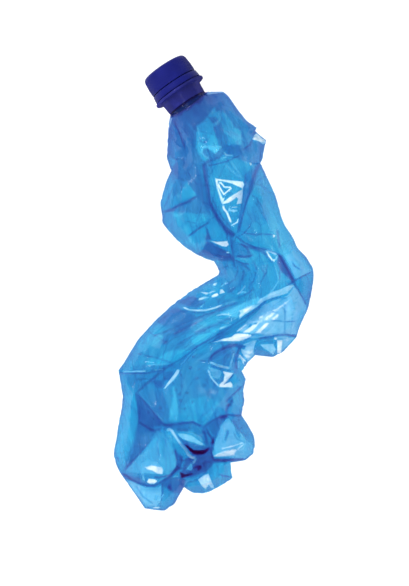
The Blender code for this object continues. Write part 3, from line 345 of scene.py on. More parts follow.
    "foot_a_strip": (0.3, 0.12, [(-32, 46), (-29.6, 44), (-29.6, 34), (-32, 33)]),
    "foot_a_rim": (-0.45, 0, [(-55.4, 23.2), (-49, 22), (-43.6, 21.6), (-42.6, 19), (-38, 17), (-33.6, 18),
        (-30, 20.6), (-26, 22.6), (-24, 20.6), (-29.6, 18.8), (-34, 16), (-38, 15.6), (-44, 16.6),
        (-50, 19.6)]),
    "foot_a_glow": (0.3, 0.35, [(-43, 24.8), (-40.6, 21), (-41, 19), (-42.6, 20)]),
    "foot_a_halo": (0.3, 0.32, [(-43.5, 29.5), (-39.5, 32), (-34, 31), (-30, 27.6), (-30.4, 23.4), (-36, 24),
        (-42.6, 24.6)]),
    "foot_a_glint": (0.2, 0.75, [(-40.6, 27.6), (-37, 28.8), (-31, 27.8), (-30.2, 26), (-30.6, 23.8),
        (-33.4, 24.2), (-36.4, 26), (-39.4, 26.4)]),
    "foot_a_glint_low": (0.2, 0.75, [(-39.8, 19), (-38.6, 21), (-35, 20.6), (-33.4, 19.6), (-35.6, 17.6),
        (-38, 17.4)]),
    "foot_b": (0.2, 0.37, [(-53, 20), (-48, 18.4), (-41, 15.4), (-35, 15.2), (-31.4, 16.4), (-30.8, 12),
        (-31.4, 7), (-34, 4.4), (-40.6, 3), (-47, 11.5)]),
    "foot_b_right": (0.3, 0.06, [(-24, 11.6), (-20.5, 11), (-24, 5), (-29, 1.5), (-31, 5), (-28, 10)]),
    "foot_b_dark": (-0.6, 0, [(-26.6, 21.6), (-20, 21), (-17, 19.6), (-18, 14.6), (-20, 11.6), (-24, 12),
        (-27, 15), (-31, 16), (-30.4, 19.4)]),
    "foot_b_edge": (-0.95, 0, [(-20, 21), (-16.8, 19.8), (-18.4, 14.6), (-20.6, 15)]),
    "foot_b_glint": (0.2, 0.7, [(-38, 2.6), (-35, 3.8), (-31.6, 3.6), (-33, 2.4)]),
    "foot_b_spark": (0.2, 0.7, [(-29.8, 2.4), (-27, 4.6), (-28.6, 3.6)]),
    "foot_c": (0.4, 0.05, [(-16, 19.6), (-8, 23), (-2, 27), (2, 30.6), (10, 30), (10.8, 21.4), (0, 14),
        (-11.6, 12), (-17, 15.4)]),
    "foot_c_pale": (0.1, 0.16, [(0, 22), (4, 21.4), (10, 20.6), (3, 16), (0.6, 18)]),
    "foot_c_glint": (0.3, 0.6, [(-9.4, 20), (-6, 22.4), (-3, 23.4), (-2, 21), (0.6, 14.6), (-1.6, 14.6),
        (-3, 17), (-4.6, 13.8), (-6.6, 15.6)]),
    "gate": (-0.8, 0.05, [(-19.6, 21), (-17, 21), (-10, 22.6), (-4, 24.6), (0, 29.6), (12, 30.8), (12, 31.8),
        (0, 32.2), (-2.4, 35), (-1.6, 39), (-4, 38.4), (-8, 35.4), (-12.6, 35.8), (-14, 33.6), (-17, 31),
        (-18.4, 27)]),
    "foot_a_shadow": (-1.8, 0, [(-22.6, 38.6), (-21.6, 36.6), (-20.4, 35.1), (-18.7, 33.5), (-18.5, 31.4),
        (-19.4, 28.9), (-19.7, 26.5), (-21.6, 25.2), (-25, 22.5), (-27, 22.3), (-24.3, 25.4), (-22, 27.7),
        (-20.6, 30.2), (-20.9, 33.1), (-21.9, 35.8)]),
    "gate_hook": (-1.9, 0, [(-20.2, 24.4), (-18.9, 23.8), (-17.2, 22.8), (-12.8, 23.6), (-12, 22.8),
        (-16.6, 21.8), (-18.1, 20.9), (-19.4, 21)]),
    "gate_ring": (-1.7, 0, [(-12.6, 26), (-10.4, 27.9), (-7.6, 28.3), (-7.2, 26.6), (-9.2, 25), (-9.8, 26),
        (-8.6, 27), (-10.2, 26.8)]),
    "swirl_strip": (0.25, 0.05, [(-29, 48.6), (-25.4, 49), (-22, 44.6), (-16, 36.6), (-13, 33.4),
        (-16.4, 34), (-19, 35.6), (-22, 38.4), (-26, 43.4)]),
    "swirl_foot": (0.3, 0.3, [(-13.8, 29.8), (-12.7, 29.2), (-12.6, 26), (-13.4, 25.1), (-16.4, 25.9),
        (-15.6, 27.4), (-14.6, 28.4)]),
    "behind_foot_e": (-0.45, 0, [(-29, 52.4), (-12.6, 54.6), (-7, 51.8), (-9, 52), (-14, 50), (-21.6, 49.6),
        (-27, 50.2), (-30, 50)]),
    "foot_e_under": (-0.5, 0, [(-22, 47), (-18.7, 44.6), (-15.4, 43.2), (-8.4, 40.8), (-5, 39.6), (-4, 38.6),
        (-9, 37.4), (-14, 38.8), (-17.6, 41.2), (-20.6, 44.4)]),
    "foot_e_back": (-0.3, 0.03, [(-13.4, 50.4), (-13.8, 52.8), (-11.6, 52.6), (-8.6, 50.6), (-7, 47.6),
        (-6, 44), (-9.2, 46.8)]),
    "foot_e": (0.9, 0.42, [(-21.4, 48), (-18.7, 48), (-15.8, 47.7), (-13.3, 46.9), (-10.9, 45.5), (-7.6, 43),
        (-4.6, 41.2), (-4.9, 39.9), (-8.4, 41.1), (-11.7, 42.4), (-15.4, 43.4), (-18.7, 44.7),
        (-20.4, 46.2)]),
    "foot_e_shadow": (-2, 0, [(-17.7, 41.3), (-15.8, 40.5), (-14.2, 39), (-12.1, 37.9), (-9.2, 37.3),
        (-5.9, 37.3), (-3, 38.5), (-4.2, 36.9), (-5.9, 35.5), (-8.4, 34.9), (-11.3, 35.3), (-13.8, 36.8),
        (-15.2, 38.4), (-16.6, 40)]),
    "foot_d": (0.25, 0.34, [(1.9, 46.3), (3, 52.5), (7.3, 56.4), (9.4, 56.9), (11.6, 53.8), (15, 50),
        (20, 43.6), (23.6, 41), (23.6, 36), (19, 32.4), (2, 33.6), (-0.9, 35), (0.2, 41)]),
    "foot_d_ray_dark": (-0.1, 0.05, [(12.4, 54), (14.2, 53.4), (16, 46), (15, 45.4), (13.6, 48)]),
    "foot_d_ray_low": (0.1, 0.16, [(8.4, 50), (7.4, 49), (5.8, 42.8), (7.4, 43.4), (9, 48)]),
    "foot_d_cyan": (0.6, 0.3, [(-0.8, 37.4), (3, 37.4), (4.6, 36), (3.4, 34.5), (0, 34.2), (-1, 35.4)]),
    "foot_d_left": (-0.55, 0, [(-6, 51), (-3, 50), (-0.6, 47), (-0.4, 42), (2, 46), (4.2, 52.4), (8, 57.6),
        (5, 58), (-2, 53.6)]),
    "foot_d_pit": (-1.9, 0, [(-1.2, 43.4), (-0.2, 45.2), (0.2, 43.6), (0, 41.6), (-2, 41.4), (-1.4, 42.4)]),
    "foot_d_brow": (-1.3, 0, [(3, 57.2), (8, 58.4), (8.6, 57.4), (4.4, 56.2)]),
    "foot_d_glint": (0.2, 0.75, [(-0.4, 34), (3, 36), (8, 37.8), (13.4, 38.4), (12.4, 34.8), (8, 34.2),
        (2, 33.8)]),
    # window glints
    "window_top": (0.3, 0.95, [(1, 200), (6, 199.4), (12, 198.8), (17.5, 198.3), (18.4, 196.4), (17.2, 194),
        (15.6, 194.9), (11, 197), (6, 198.2), (2.6, 198.9)]),
    "window_left": (0.3, 0.8, [(1, 200), (2.6, 198.9), (2.4, 196.4), (3.6, 193), (5.6, 188.4), (6.8, 188.8),
        (6.2, 186.6), (5, 185.2), (3.8, 188.6), (2, 194.4)]),
    "window_bar": (0.3, 0.95, [(5.2, 184.8), (6.2, 186.4), (11.4, 190), (17.4, 194), (17.4, 191),
        (16.9, 185.2), (13.6, 184.8), (14.6, 188), (13.4, 189), (12, 187.6), (9.4, 185.8)]),
    "window_patch": (0.4, 0.5, [(9, 183.8), (10.5, 181.8), (14, 181.6), (14.8, 180.6), (12, 179.8),
        (8.6, 180.8)]),
    "cone_glint": (0.3, 0.9, [(-2.2, 162.8), (2, 162.2), (6.6, 162.6), (8, 162.8), (9, 160.6), (7.6, 159.5),
        (5, 159.8), (1.5, 161.3)]),
    "triangle_glint": (0.3, 0.8, [(34.8, 151.9), (37, 151.9), (36.2, 150)]),
    "dot_strap": (0.3, 0.9, [(21.4, 209.4), (22.4, 209.2), (22.6, 208), (21.8, 207.8)]),
    "dot_elbow": (0.3, 0.9, [(35.4, 166.6), (36.8, 166.4), (36.6, 165), (35.4, 164.9)]),
    "dot_cone": (0.3, 0.7, [(7.6, 156.3), (9.4, 156.3), (9.2, 155.5), (7.8, 155.5)]),
}

# Creases pressed in: depth, half width of the valley, darkness and half width of the dark line, which is
# partly the film lying doubled in the crease and partly painted shade, then the line's points.
VALLEYS = {
    "window_left": (0.3, 1.5, 0.28, 0.4, [(4.3, 213), (-2.3, 210.7), (-6, 208.4), (-5.3, 201.7), (-3, 193),
        (-2, 185.7), (2.3, 177), (7.7, 169), (13, 165.7)]),
    "window_top": (0.3, 1.4, 0.36, 0.4, [(-3.7, 207.5), (2.3, 208.7), (7.7, 210), (13, 212.4),
        (15.7, 213.7)]),
    "strap_right": (0.35, 1.4, 0.34, 0.4, [(27.7, 209), (23, 198.4), (21.7, 193), (17.7, 181),
        (14.7, 168.4)]),
    "strap_left": (0.25, 1.2, 0.3, 0.4, [(19.3, 203), (18.3, 193.7), (16.3, 182.4), (14.6, 170)]),
    "lobe_high": (0.35, 1.6, 0.5, 0.6, [(-29.7, 180.4), (-25, 181.4), (-20.4, 184.4), (-15.5, 186),
        (-10, 189.4)]),
    "lobe_low": (0.35, 1.6, 0.5, 0.45, [(-15.3, 165.4), (-9, 170.2), (-2.3, 174.4)]),
    "shoulder_left": (0.35, 1.6, 0.5, 0.4, [(-24, 235), (-21, 229), (-19, 223.6), (-17, 218)]),
    "patch_crease": (0.2, 1, 0.3, 0.35, [(-5, 227), (-4, 222.6), (-6.6, 220.6)]),
    "shoulder_nick": (0.2, 1, 0.4, 0.35, [(-25.6, 213.8), (-22.6, 211.4), (-20.6, 212)]),
    "shoulder_flap": (0.3, 1.2, 0.4, 0.4, [(25, 230), (24, 225), (21.6, 220), (18, 217.5)]),
    "waist_long": (0.35, 1.5, 0.5, 0.4, [(13.3, 165.7), (18.3, 161.7), (24.3, 159), (31, 157.6), (39, 154.6),
        (43.7, 146.4), (47.7, 139), (51.6, 132), (56, 124)]),
    "hub_stem": (0.35, 1.2, 0.4, 0.4, [(12.6, 146.5), (12, 151.7), (11.2, 157), (10.4, 164)]),
    "hub_level": (0.3, 1.2, 0.6, 0.5, [(13.5, 153.6), (19, 153.4), (23, 154)]),
    "hub_low_a": (0.25, 1, 0.5, 0.4, [(12.4, 151.6), (17, 149.5), (22, 148.8)]),
    "hub_low_b": (0.2, 1, 0.4, 0.35, [(14, 151), (19, 147.6), (21.5, 145.4)]),
    "hub_high": (0.25, 1, 0.5, 0.4, [(16, 161.4), (20, 159), (21.6, 155)]),
    "waist_level": (0.2, 1.2, 0.4, 0.35, [(17, 168.6), (20.3, 167), (28, 166.6), (35.7, 166.7)]),
    "waist_drop": (0.25, 1.2, 0.35, 0.5, [(38, 170), (38.8, 164), (39.7, 158.4)]),
    "elbow_arc": (0.2, 1, 0.45, 0.4, [(46.7, 150.8), (48.4, 147.8), (52.3, 145.4)]),
    "elbow_edge": (0.35, 1.2, 0.5, 0.4, [(59.6, 144.8), (53, 141.6), (47.7, 138.6), (44, 136.4)]),
    "facet_right": (0.2, 1.2, 0.15, 0.4, [(25, 186), (32, 174)]),
    "main_fold": (0.3, 1.4, 0.4, 0.4, [(31.6, 127.6), (26.6, 122.8), (21.7, 119.2), (13, 113), (4.3, 107.4),
        (-4.3, 102.8), (-9.5, 99.8), (-18.2, 92.8), (-24.3, 89.4), (-32, 84), (-46, 72)]),
    "main_fold_low": (0.2, 1.1, 0.3, 0.35, [(31, 126), (24, 120), (18.2, 114.7), (9, 108.8), (2, 104.6),
        (-3, 101.6)]),
    "waist_arc_a": (0.2, 1, 0.34, 0.3, [(32, 149), (31.6, 144.4), (29, 139.6), (25, 135), (20, 131.4),
        (14, 128.6)]),
    "waist_arc_b": (0.2, 1, 0.34, 0.3, [(18.2, 146), (17, 140), (14, 135.4), (9, 132)]),
    "waist_arc_c": (0.2, 1, 0.35, 0.35, [(39.6, 145), (39.4, 139)]),
    "waist_arc_d": (0.15, 1, 0.2, 0.35, [(8, 150), (7.4, 145), (5.6, 142)]),
    "waist_arc_e": (0.15, 1, 0.2, 0.35, [(27, 148), (29.6, 144.8), (30.6, 142)]),
    "elbow_curl": (0.2, 1, 0.3, 0.35, [(33, 127.6), (38, 128.8), (44, 128.6)]),
    "elbow_level": (0.2, 1.2, 0.45, 0.35, [(34, 115.4), (44, 114.6), (51, 114.8)]),
    "elbow_upright": (0.2, 1.2, 0.3, 0.45, [(42.6, 107), (42.4, 126)]),
    "hem_lip": (0.35, 1.4, 0.7, 0.5, [(27, 104.6), (36, 106), (44, 106.6), (49.4, 105.8)]),
    "corner": (0.3, 1.2, 0.4, 0.4, [(-56, 84), (-40, 83.6), (-30, 86.4), (-23.4, 88.7)]),
    "corner_low": (0.25, 1.2, 0.3, 0.4, [(-43, 75.4), (-36, 80.4), (-30, 84.4)]),
    "triangle_left": (0.4, 1.6, 0.5, 0.4, [(-46.2, 72), (-45.2, 64), (-44.3, 54), (-36, 49)]),
    "triangle_right": (0.3, 1.2, 0.3, 0.4, [(-46, 71.7), (-36, 60.6), (-30.3, 53), (-24, 51.6)]),
    "side_left": (0.25, 1.4, 0.2, 0.4, [(-44.5, 55), (-47, 46), (-49.6, 38), (-53, 26)]),
    "foot_a_ridge": (0.3, 1.4, 0.3, 0.4, [(-32, 49.3), (-42, 38), (-54, 25)]),
    "foot_a_rim": (0.4, 1.4, 0.7, 0.5, [(-55, 23.3), (-48.3, 19), (-40.3, 16.2), (-35, 16.2), (-30, 19.3),
        (-25, 22.3), (-22.3, 26.3), (-21.4, 30), (-21.8, 34), (-23.3, 38.3)]),
    "foot_a_arc": (0.2, 1, 0.5, 0.4, [(-36, 21.8), (-32, 21.6), (-26, 23)]),
    "base_line": (0.35, 1.4, 0.6, 0.5, [(-29, 52.3), (-18.3, 53.9), (-12.3, 54.6), (-7, 51.7)]),
    "foot_e_top": (0.2, 1, 0.4, 0.4, [(-21.6, 49.4), (-17, 50), (-14.4, 49.4)]),
    "foot_e_right": (0.2, 1, 0.7, 0.6, [(-6.8, 50.2), (-5.2, 47.4), (-4.3, 43.8), (-3.6, 40.6)]),
    "foot_e_rim": (0.4, 1.4, 0.9, 0.6, [(-16.6, 42), (-12.3, 36.4), (-6.3, 36), (-2.3, 39)]),
    "foot_d_rim": (0.35, 1.4, 0.8, 0.5, [(19, 31.9), (8, 31.1), (0, 31.6), (-1.6, 36), (-0.4, 43),
        (-4.6, 50.6)]),
    "foot_d_brow": (0.3, 1.2, 0.6, 0.45, [(-6, 51.4), (-1, 55), (4, 57.6), (9, 58.8), (16.6, 58)]),
    "foot_d_mark": (0.15, 0.9, 0.3, 0.4, [(7.4, 45), (9.4, 50.6)]),
    "foot_c_rim": (0.2, 1, 0.5, 0.4, [(2.8, 23.2), (6, 22), (10.6, 21)]),
    "foot_b_rim": (0.2, 1, 0.4, 0.4, [(-31, 19), (-30.6, 12), (-31.6, 7)]),
    "right_waist": (0.3, 1.2, 0.5, 0.4, [(17.2, 75.8), (11, 70), (7, 66.4)]),
    "right_stem": (0.3, 1.2, 0.5, 0.6, [(10.4, 66), (7.7, 62), (8, 58.4)]),
    "comma": (0.2, 1, 1, 0.7, [(-26.2, 17), (-26.7, 15.2), (-25.2, 13.6)]),
    "gate_swirl": (0.2, 1, 0.5, 0.4, [(-1, 30.2), (-4.6, 30.4), (-6, 29), (-5.4, 27)]),
    "gate_rise": (0.2, 1, 0.5, 0.4, [(-18.4, 31), (-16, 32.4), (-12, 32.2)]),
    "left_tick": (0.15, 0.8, 0.6, 0.4, [(-58, 34), (-56.6, 30)]),
    "stripe_a": (0.2, 1.2, 0.4, 0.5, [(-24, 107), (-15, 111)]),
    "stripe_b": (0.2, 1.2, 0.3, 0.5, [(-22, 109), (-8, 115), (4, 122.4), (14, 126)]),
    "stripe_c": (0.2, 1, 0.5, 0.4, [(-30, 101), (-27, 104)]),
    "stripe_d": (0.2, 1.2, 0.3, 0.5, [(-12, 107.6), (-2, 111.4), (10, 117)]),
    "pocket_fold": (0.2, 1, 0.5, 0.4, [(12, 83), (8.6, 79.4), (5.2, 76.4)]),
    "pocket_edge": (0.25, 1.2, 0.4, 0.45, [(-3.4, 90.6), (0, 95), (6, 98.4), (14, 101)]),
    "window_base_a": (0.2, 1, 0.35, 0.35, [(-1.5, 190), (1.6, 182.6), (6, 176), (10.6, 170.4)]),
    "window_base_b": (0.2, 1, 0.3, 0.35, [(5.6, 173), (7.6, 168), (8.6, 163.6)]),
    "strap_middle": (0.15, 1, 0.25, 0.35, [(25.4, 206), (21.4, 196), (18.6, 184), (15.4, 170)]),
    "right_ray": (0.15, 1, 0.25, 0.35, [(24, 197), (28, 196), (33, 192.6), (36, 190.6)]),
    "right_fan": (0.15, 1, 0.25, 0.35, [(22.4, 190.6), (26, 187.6), (28.4, 183), (30, 176)]),
    "lobe_rim_line": (0.2, 1, 0.3, 0.4, [(-24, 203), (-23, 197.6), (-26.4, 190), (-29.4, 183)]),
    "lobe_cross": (0.2, 1, 0.3, 0.35, [(-17, 199), (-20, 191.4), (-19.6, 187)]),
    "waist_hem_a": (0.2, 1, 0.35, 0.35, [(-7, 157.4), (0, 154.6), (6, 153.4), (12, 152.8)]),
    "waist_hem_b": (0.15, 1, 0.3, 0.35, [(3, 158.8), (7, 156), (11.6, 153.4)]),
    "waist_flow_a": (0.15, 1, 0.3, 0.3, [(14, 150), (14.6, 145), (12.6, 140), (8.4, 136.6)]),
    "waist_flow_b": (0.15, 1, 0.3, 0.3, [(24, 150.6), (25.6, 145), (24, 139), (19, 134)]),
    "belly_flow_a": (0.15, 1.2, 0.3, 0.4, [(-36, 106), (-26, 109.6), (-14, 115), (-2, 119.6), (8, 122.6)]),
    "belly_flow_b": (0.15, 1.2, 0.3, 0.4, [(-22, 100.6), (-12, 106.4), (-4, 109.6)]),
    "belly_flow_c": (0.15, 1.2, 0.25, 0.4, [(-26, 120.6), (-14, 121), (-4, 119.4)]),
    "belly_fan_a": (0.15, 1.2, 0.3, 0.35, [(-24, 89.6), (-34, 93), (-46, 95.6)]),
    "low_fan_a": (0.15, 1, 0.25, 0.35, [(-20.4, 86), (-19, 78), (-19.6, 70)]),
    "low_fan_b": (0.15, 1, 0.25, 0.35, [(-9, 91.6), (-3, 90.8), (4, 95.4), (11, 99.4)]),
    "foot_a_flow_a": (0.15, 1, 0.25, 0.35, [(-33, 46.6), (-33.6, 40), (-32.4, 34)]),
    "foot_a_flow_b": (0.15, 1, 0.2, 0.35, [(-28.6, 45), (-29.6, 38), (-29, 32.6)]),
    "foot_b_flow": (0.15, 1, 0.3, 0.35, [(-47, 16.4), (-42, 9.6), (-36, 5.6)]),
    "foot_d_flow_a": (0.15, 1, 0.35, 0.35, [(11, 56), (15.6, 49.6), (21, 45)]),
    "foot_d_flow_b": (0.15, 1, 0.3, 0.35, [(19, 42.6), (14, 44.6), (11.6, 49)]),
    "foot_c_flow": (0.15, 1, 0.3, 0.35, [(-15.6, 18), (-10, 19.6), (-4, 25)]),
    "pleat_a": (0.25, 1.2, 0.5, 0.5, [(15.4, 100), (13.6, 92), (13.4, 86)]),
    "pleat_b": (0.2, 1, 0.6, 0.6, [(15.8, 98.8), (16, 97.4)]),
}

# Crests standing out: height, half width of the crest, strength and half width of the pale line, a painted
# highlight along the crest, then the line's points.
CRESTS = {
    "window_loop": (0.2, 0.9, 0.9, 0.4, [(2.6, 197.6), (4.4, 197.4), (6.4, 195), (9.8, 194.8), (10.4, 194),
        (6.2, 190.6), (3.4, 195), (2.6, 197.6)]),
    "window_ray_a": (0.2, 1.2, 0.25, 0.6, [(6.5, 209), (11, 204.4), (16.5, 200)]),
    "window_ray_b": (0.2, 1.2, 0.25, 0.6, [(10, 210.4), (14, 205), (17.6, 199.6)]),
    "window_low": (0.25, 1, 0.9, 0.5, [(5.6, 184.6), (6.4, 182), (8, 180), (9.6, 176), (10.8, 173.4)]),
    "window_foot": (0.2, 0.9, 0.8, 0.4, [(10.2, 171.8), (14.4, 174.2), (15, 176.6)]),
    "window_curl": (0.15, 0.8, 0.6, 0.35, [(9.4, 184), (11, 182.9), (15.2, 183.2)]),
    "crinkle_rim_a": (0.15, 0.8, 0.8, 0.4, [(13.4, 108.2), (16.1, 109.9), (18.3, 111.8), (20.4, 113.4)]),
    "crinkle_rim_b": (0.15, 0.8, 0.5, 0.35, [(15.6, 108.6), (18, 110.4), (20.2, 111.6)]),
    "crinkle_rim_c": (0.15, 0.8, 0.5, 0.4, [(27.2, 116.2), (27.7, 117.4), (29.4, 118.3), (31.6, 119.8),
        (33, 120.4), (36.6, 120.1)]),
    "hem_bar_line": (0.15, 0.8, 0.7, 0.35, [(41, 103.7), (45.2, 103.6)]),
    "lip_a": (0.2, 0.9, 0.4, 0.5, [(6, 216), (7.5, 213.8), (12, 213.3)]),
    "lip_b": (0.2, 0.9, 0.3, 0.5, [(4, 211.5), (9, 213)]),
    "shoulder_arc": (0.2, 0.9, 0.16, 0.9, [(0.2, 231.2), (2.6, 233.1), (3.7, 235), (3.3, 237.3),
        (4.1, 240.4)]),
    "patch_streak": (0.2, 0.9, 0.2, 0.5, [(-9.8, 223.4), (-7.9, 220.7), (-6.6, 219.4)]),
    "patch_left": (0.2, 0.9, 0.24, 0.45, [(-9.6, 231), (-8.4, 226), (-9.8, 220), (-7.4, 213.6)]),
    "patch_ring": (0.2, 0.9, 0.28, 0.65, [(0.6, 214.6), (3.8, 219), (0.6, 218.8), (-3, 219.2), (-6.4, 218.6),
        (-7, 215.6), (-4.6, 212.8), (-2, 212)]),
    "flap_line": (0.2, 0.9, 0.24, 0.4, [(21, 229), (24.4, 228.2)]),
    "shoulder_ray_a": (0.2, 0.9, 0.16, 0.5, [(5, 242), (7.6, 236), (11, 229)]),
    "shoulder_ray_b": (0.2, 0.9, 0.12, 0.5, [(9, 243), (13, 236), (15.4, 230)]),
    "shoulder_tick": (0.2, 0.9, 0.22, 0.8, [(-0.3, 240.4), (-0.1, 238)]),
    "triangle_a": (0.2, 0.9, 0.8, 0.45, [(31.3, 157.4), (38.2, 154.6)]),
    "triangle_b": (0.2, 0.9, 0.8, 0.45, [(31.3, 157.4), (33.4, 153.6), (35.8, 150.6)]),
    "triangle_c": (0.2, 0.9, 0.5, 0.4, [(38.2, 154.6), (36.8, 150.6)]),
    "elbow_drop": (0.25, 1, 0.3, 0.6, [(35.8, 149), (37.6, 145), (38.8, 140.5), (38.6, 138.4), (35.5, 134),
        (33.6, 131.6)]),
    "fan_edge": (0.2, 0.9, 0.5, 0.45, [(13.6, 130.4), (16.6, 133), (19.4, 136.8)]),
    "waist_dash": (0.2, 0.9, 0.35, 0.4, [(3.6, 134.6), (6, 136.6), (8.4, 139)]),
    "belly_arc": (0.25, 1, 0.6, 0.45, [(-18.4, 123.2), (-14.4, 121.6), (-9.6, 121.2), (-4.4, 121.6),
        (1, 123), (5.6, 124.8)]),
    "belly_arc_end": (0.2, 1, 0.25, 0.5, [(5.6, 124.8), (14, 127)]),
    "belly_lens_a": (0.2, 0.9, 0.5, 0.45, [(1, 118.2), (5, 119), (11, 119)]),
    "belly_lens_b": (0.2, 0.9, 0.25, 0.45, [(1, 116.6), (4, 115.2), (7.6, 115)]),
    "belly_lens_c": (0.2, 0.9, 0.5, 0.5, [(3, 110.2), (7, 111.6), (11.4, 113.4)]),
    "hem_crinkle_a": (0.25, 0.9, 0.7, 0.45, [(16.8, 98.4), (19.8, 96.4), (24.2, 96)]),
    "hem_crinkle_b": (0.25, 0.9, 0.9, 0.5, [(16, 94), (19.6, 90.2)]),
    "hem_crinkle_c": (0.25, 0.9, 0.8, 0.4, [(14.6, 92), (15.4, 94.4), (17.2, 91), (18.4, 88.4)]),
    "hem_crinkle_d": (0.2, 0.9, 0.4, 0.5, [(14.8, 92), (14.6, 86)]),
    "hem_ray": (0.2, 0.9, 0.4, 0.5, [(12.2, 96.4), (10.6, 91), (9.4, 86.4)]),
    "pocket_top": (0.25, 1, 0.5, 0.55, [(-2.6, 90.6), (2, 88.8), (6, 87.6), (10, 86.8)]),
    "pocket_rim": (0.25, 1, 0.5, 0.4, [(-3.6, 86.6), (-1.6, 81.6), (1.4, 78), (3.6, 75.6)]),
    "corner_a": (0.25, 1, 0.4, 0.45, [(-55, 84.2), (-46, 84.8), (-39.6, 85.2)]),
    "corner_b": (0.2, 1, 0.4, 0.45, [(-36, 85.8), (-29, 86)]),
    "corner_c": (0.2, 1, 0.2, 0.5, [(-40, 88.8), (-24, 89.4)]),
    "branch_high": (0.2, 1, 0.45, 0.45, [(-10, 98.6), (-14, 94.6), (-17.6, 90.6), (-20.4, 88)]),
    "left_line": (0.2, 1, 0.2, 0.35, [(-36.8, 61.6), (-33, 58.4), (-30, 54.4)]),
    "right_line": (0.2, 1.2, 0.14, 0.7, [(2, 65), (-1, 60), (-6.4, 52)]),
    "foot_b_edge": (0.2, 1, 0.42, 0.6, [(-50.6, 18.6), (-46, 12), (-40, 6), (-33, 4.6)]),
    "foot_b_line": (0.2, 1, 0.4, 0.5, [(-33.6, 5.6), (-29.4, 12)]),
    "swirl": (0.25, 1, 0.5, 0.75, [(-28.4, 49.2), (-26.2, 50), (-24.8, 49.2), (-23, 46.4), (-20, 42),
        (-17, 38.4), (-15, 35), (-13, 33.1), (-10.4, 33)]),
    "lens_line": (0.15, 0.9, 0.25, 0.6, [(-15.6, 49.2), (-12.6, 48.3), (-9.2, 45.8), (-5.5, 42.6)]),
    "lens_loop": (0.15, 0.9, 0.16, 0.5, [(-12, 49.4), (-13.9, 51), (-13.8, 53), (-11.6, 53), (-9, 51.2),
        (-7.2, 48.4)]),
    "lens_end": (0.15, 0.8, 0.5, 0.6, [(-5.8, 40.8), (-4.6, 40.4)]),
    "swirl_end": (0.2, 0.9, 0.4, 0.6, [(-10.3, 33.2), (-11.4, 31), (-12.8, 29)]),
    "swirl_low": (0.2, 0.9, 0.25, 0.45, [(-28, 47.4), (-24, 43.4)]),
    "foot_b_brow": (0.2, 0.9, 0.35, 0.4, [(-27, 20.4), (-23, 22), (-20.6, 22.2)]),
    "foot_d_ray_a": (0.2, 0.9, 0.6, 0.45, [(4, 38.6), (12, 40.6), (18.4, 42.8)]),
    "foot_d_ray_b": (0.2, 0.9, 0.55, 0.4, [(12, 36.6), (19, 42.4)]),
}

# The bent middle line of the body, from the neck to the base. The finest wrinkles run along it.
MIDDLE_LINE = [
    (-24, 252), (-6, 230), (2, 205), (4, 180), (12, 158), (20, 142), (20, 124), (0, 111), (-20, 97),
    (-26, 80), (-20, 60), (-14, 30), (-14, 0),
]

# Beads of water that dried to the inside of the film, each shown by a painted dark rim of shade and a
# painted glint: x, y and radius.
BEADS = [
    (-18.6, 76.2, 0.7), (-20.3, 71.3, 0.6), (-22.5, 74, 0.6), (-10, 80.8, 0.8), (-13.8, 87, 0.7),
    (-12, 93.7, 0.7), (-15.5, 72, 0.6), (-32, 63, 0.8), (-17, 62.5, 0.7), (-29, 81, 0.7),
    (-19.4, 82.6, 0.6), (-8.4, 86.2, 0.6), (-24.6, 70.4, 0.5), (-19.6, 67.4, 0.6), (-12.6, 66.4, 0.5),
    (-5.4, 76.6, 0.6), (-39, 60.4, 0.6), (-15.5, 129.3, 0.7), (-11, 128.7, 0.6), (12.6, 55.2, 0.6),
    (16.4, 50.8, 0.7),
]

# Where the blown wall is thick and stiff: x, y, reach and how strongly.
STIFF_SPOTS = [
    (-8.3, 27.7, 11, 0.14), (-40, 28, 14, 0.08), (10, 44, 13, 0.08), (-5, 18, 9, 0.08), (-30, 9, 10, 0.08),
]


def colour_setting(name, description, default):
    """A colour among the settings."""
    return bpy.props.FloatVectorProperty(
        name=name, description=description, subtype="COLOR", size=3, min=0, max=1, default=default)


def share_setting(name, description, default):
    """A share from 0 to 1 among the settings."""
    return bpy.props.FloatProperty(
        name=name, description=description, subtype="FACTOR", min=0, max=1, default=default)


def length_setting(name, description, default):
    """A length in metres among the settings."""
    return bpy.props.FloatProperty(name=name, description=description, unit="LENGTH", default=default)


class BottleShellLook(bpy.types.PropertyGroup):
    """Sizes and colours of the crumpled shell."""

    tint: colour_setting(
        "Film tint", "Colour that one surface of the film lets through", (0.425, 0.80, 0.912))
    # Also the tint of facets painted lighter.
    thin_and_lit_tint: colour_setting(
        "Thin film tint", "Colour that one surface lets through where the film is stretched thin",
        (0.42, 0.93, 0.99))
    # Also deepens the painted shade of creases and shaded facets, and the painted shadows.
    doubled_tint: colour_setting(
        "Doubled film tint", "What one surface lets through of its colour where folds lie double",
        (0.99, 0.62, 0.815))
    facets: bpy.props.FloatProperty(
        name="Facets", description="How many of the finest facets come to a metre", min=1, default=60.0)
    haze: colour_setting("Film haze", "Colour that the film scatters", (0.03, 0.26, 0.60))
    haze_share: share_setting("Haze share", "Share of the light that one surface scatters", 0.07)
    roughness: share_setting("Film roughness", "Roughness of the film's mirror glints", 0.14)
    wall: length_setting("Film wall", "Thickness of the blown wall", 0.00032)
    crumple: length_setting("Crumple height", "Height of the finer crumpling", 0.0004)


class ClosureLook(bpy.types.PropertyGroup):
    """Sizes and colours of the cap, the band and the liner."""

    colour: colour_setting("Closure blue", "Colour of the moulded cap and band", (0.006, 0.009, 0.125))
    roughness: share_setting("Closure roughness", "Roughness of the moulded plastic", 0.5)
    ribs: bpy.props.IntProperty(
        name="Grip ribs", description="Number of ribs round the cap", min=3, default=120)
    rib_height: length_setting("Rib height", "How far a rib stands out", 0.0002)
    bridges: bpy.props.IntProperty(
        name="Broken bridges", description="Number of broken bridges on the band's top", min=3, default=16)
    liner: colour_setting("Liner colour", "Colour of the sealing disc", (0.78, 0.80, 0.82))


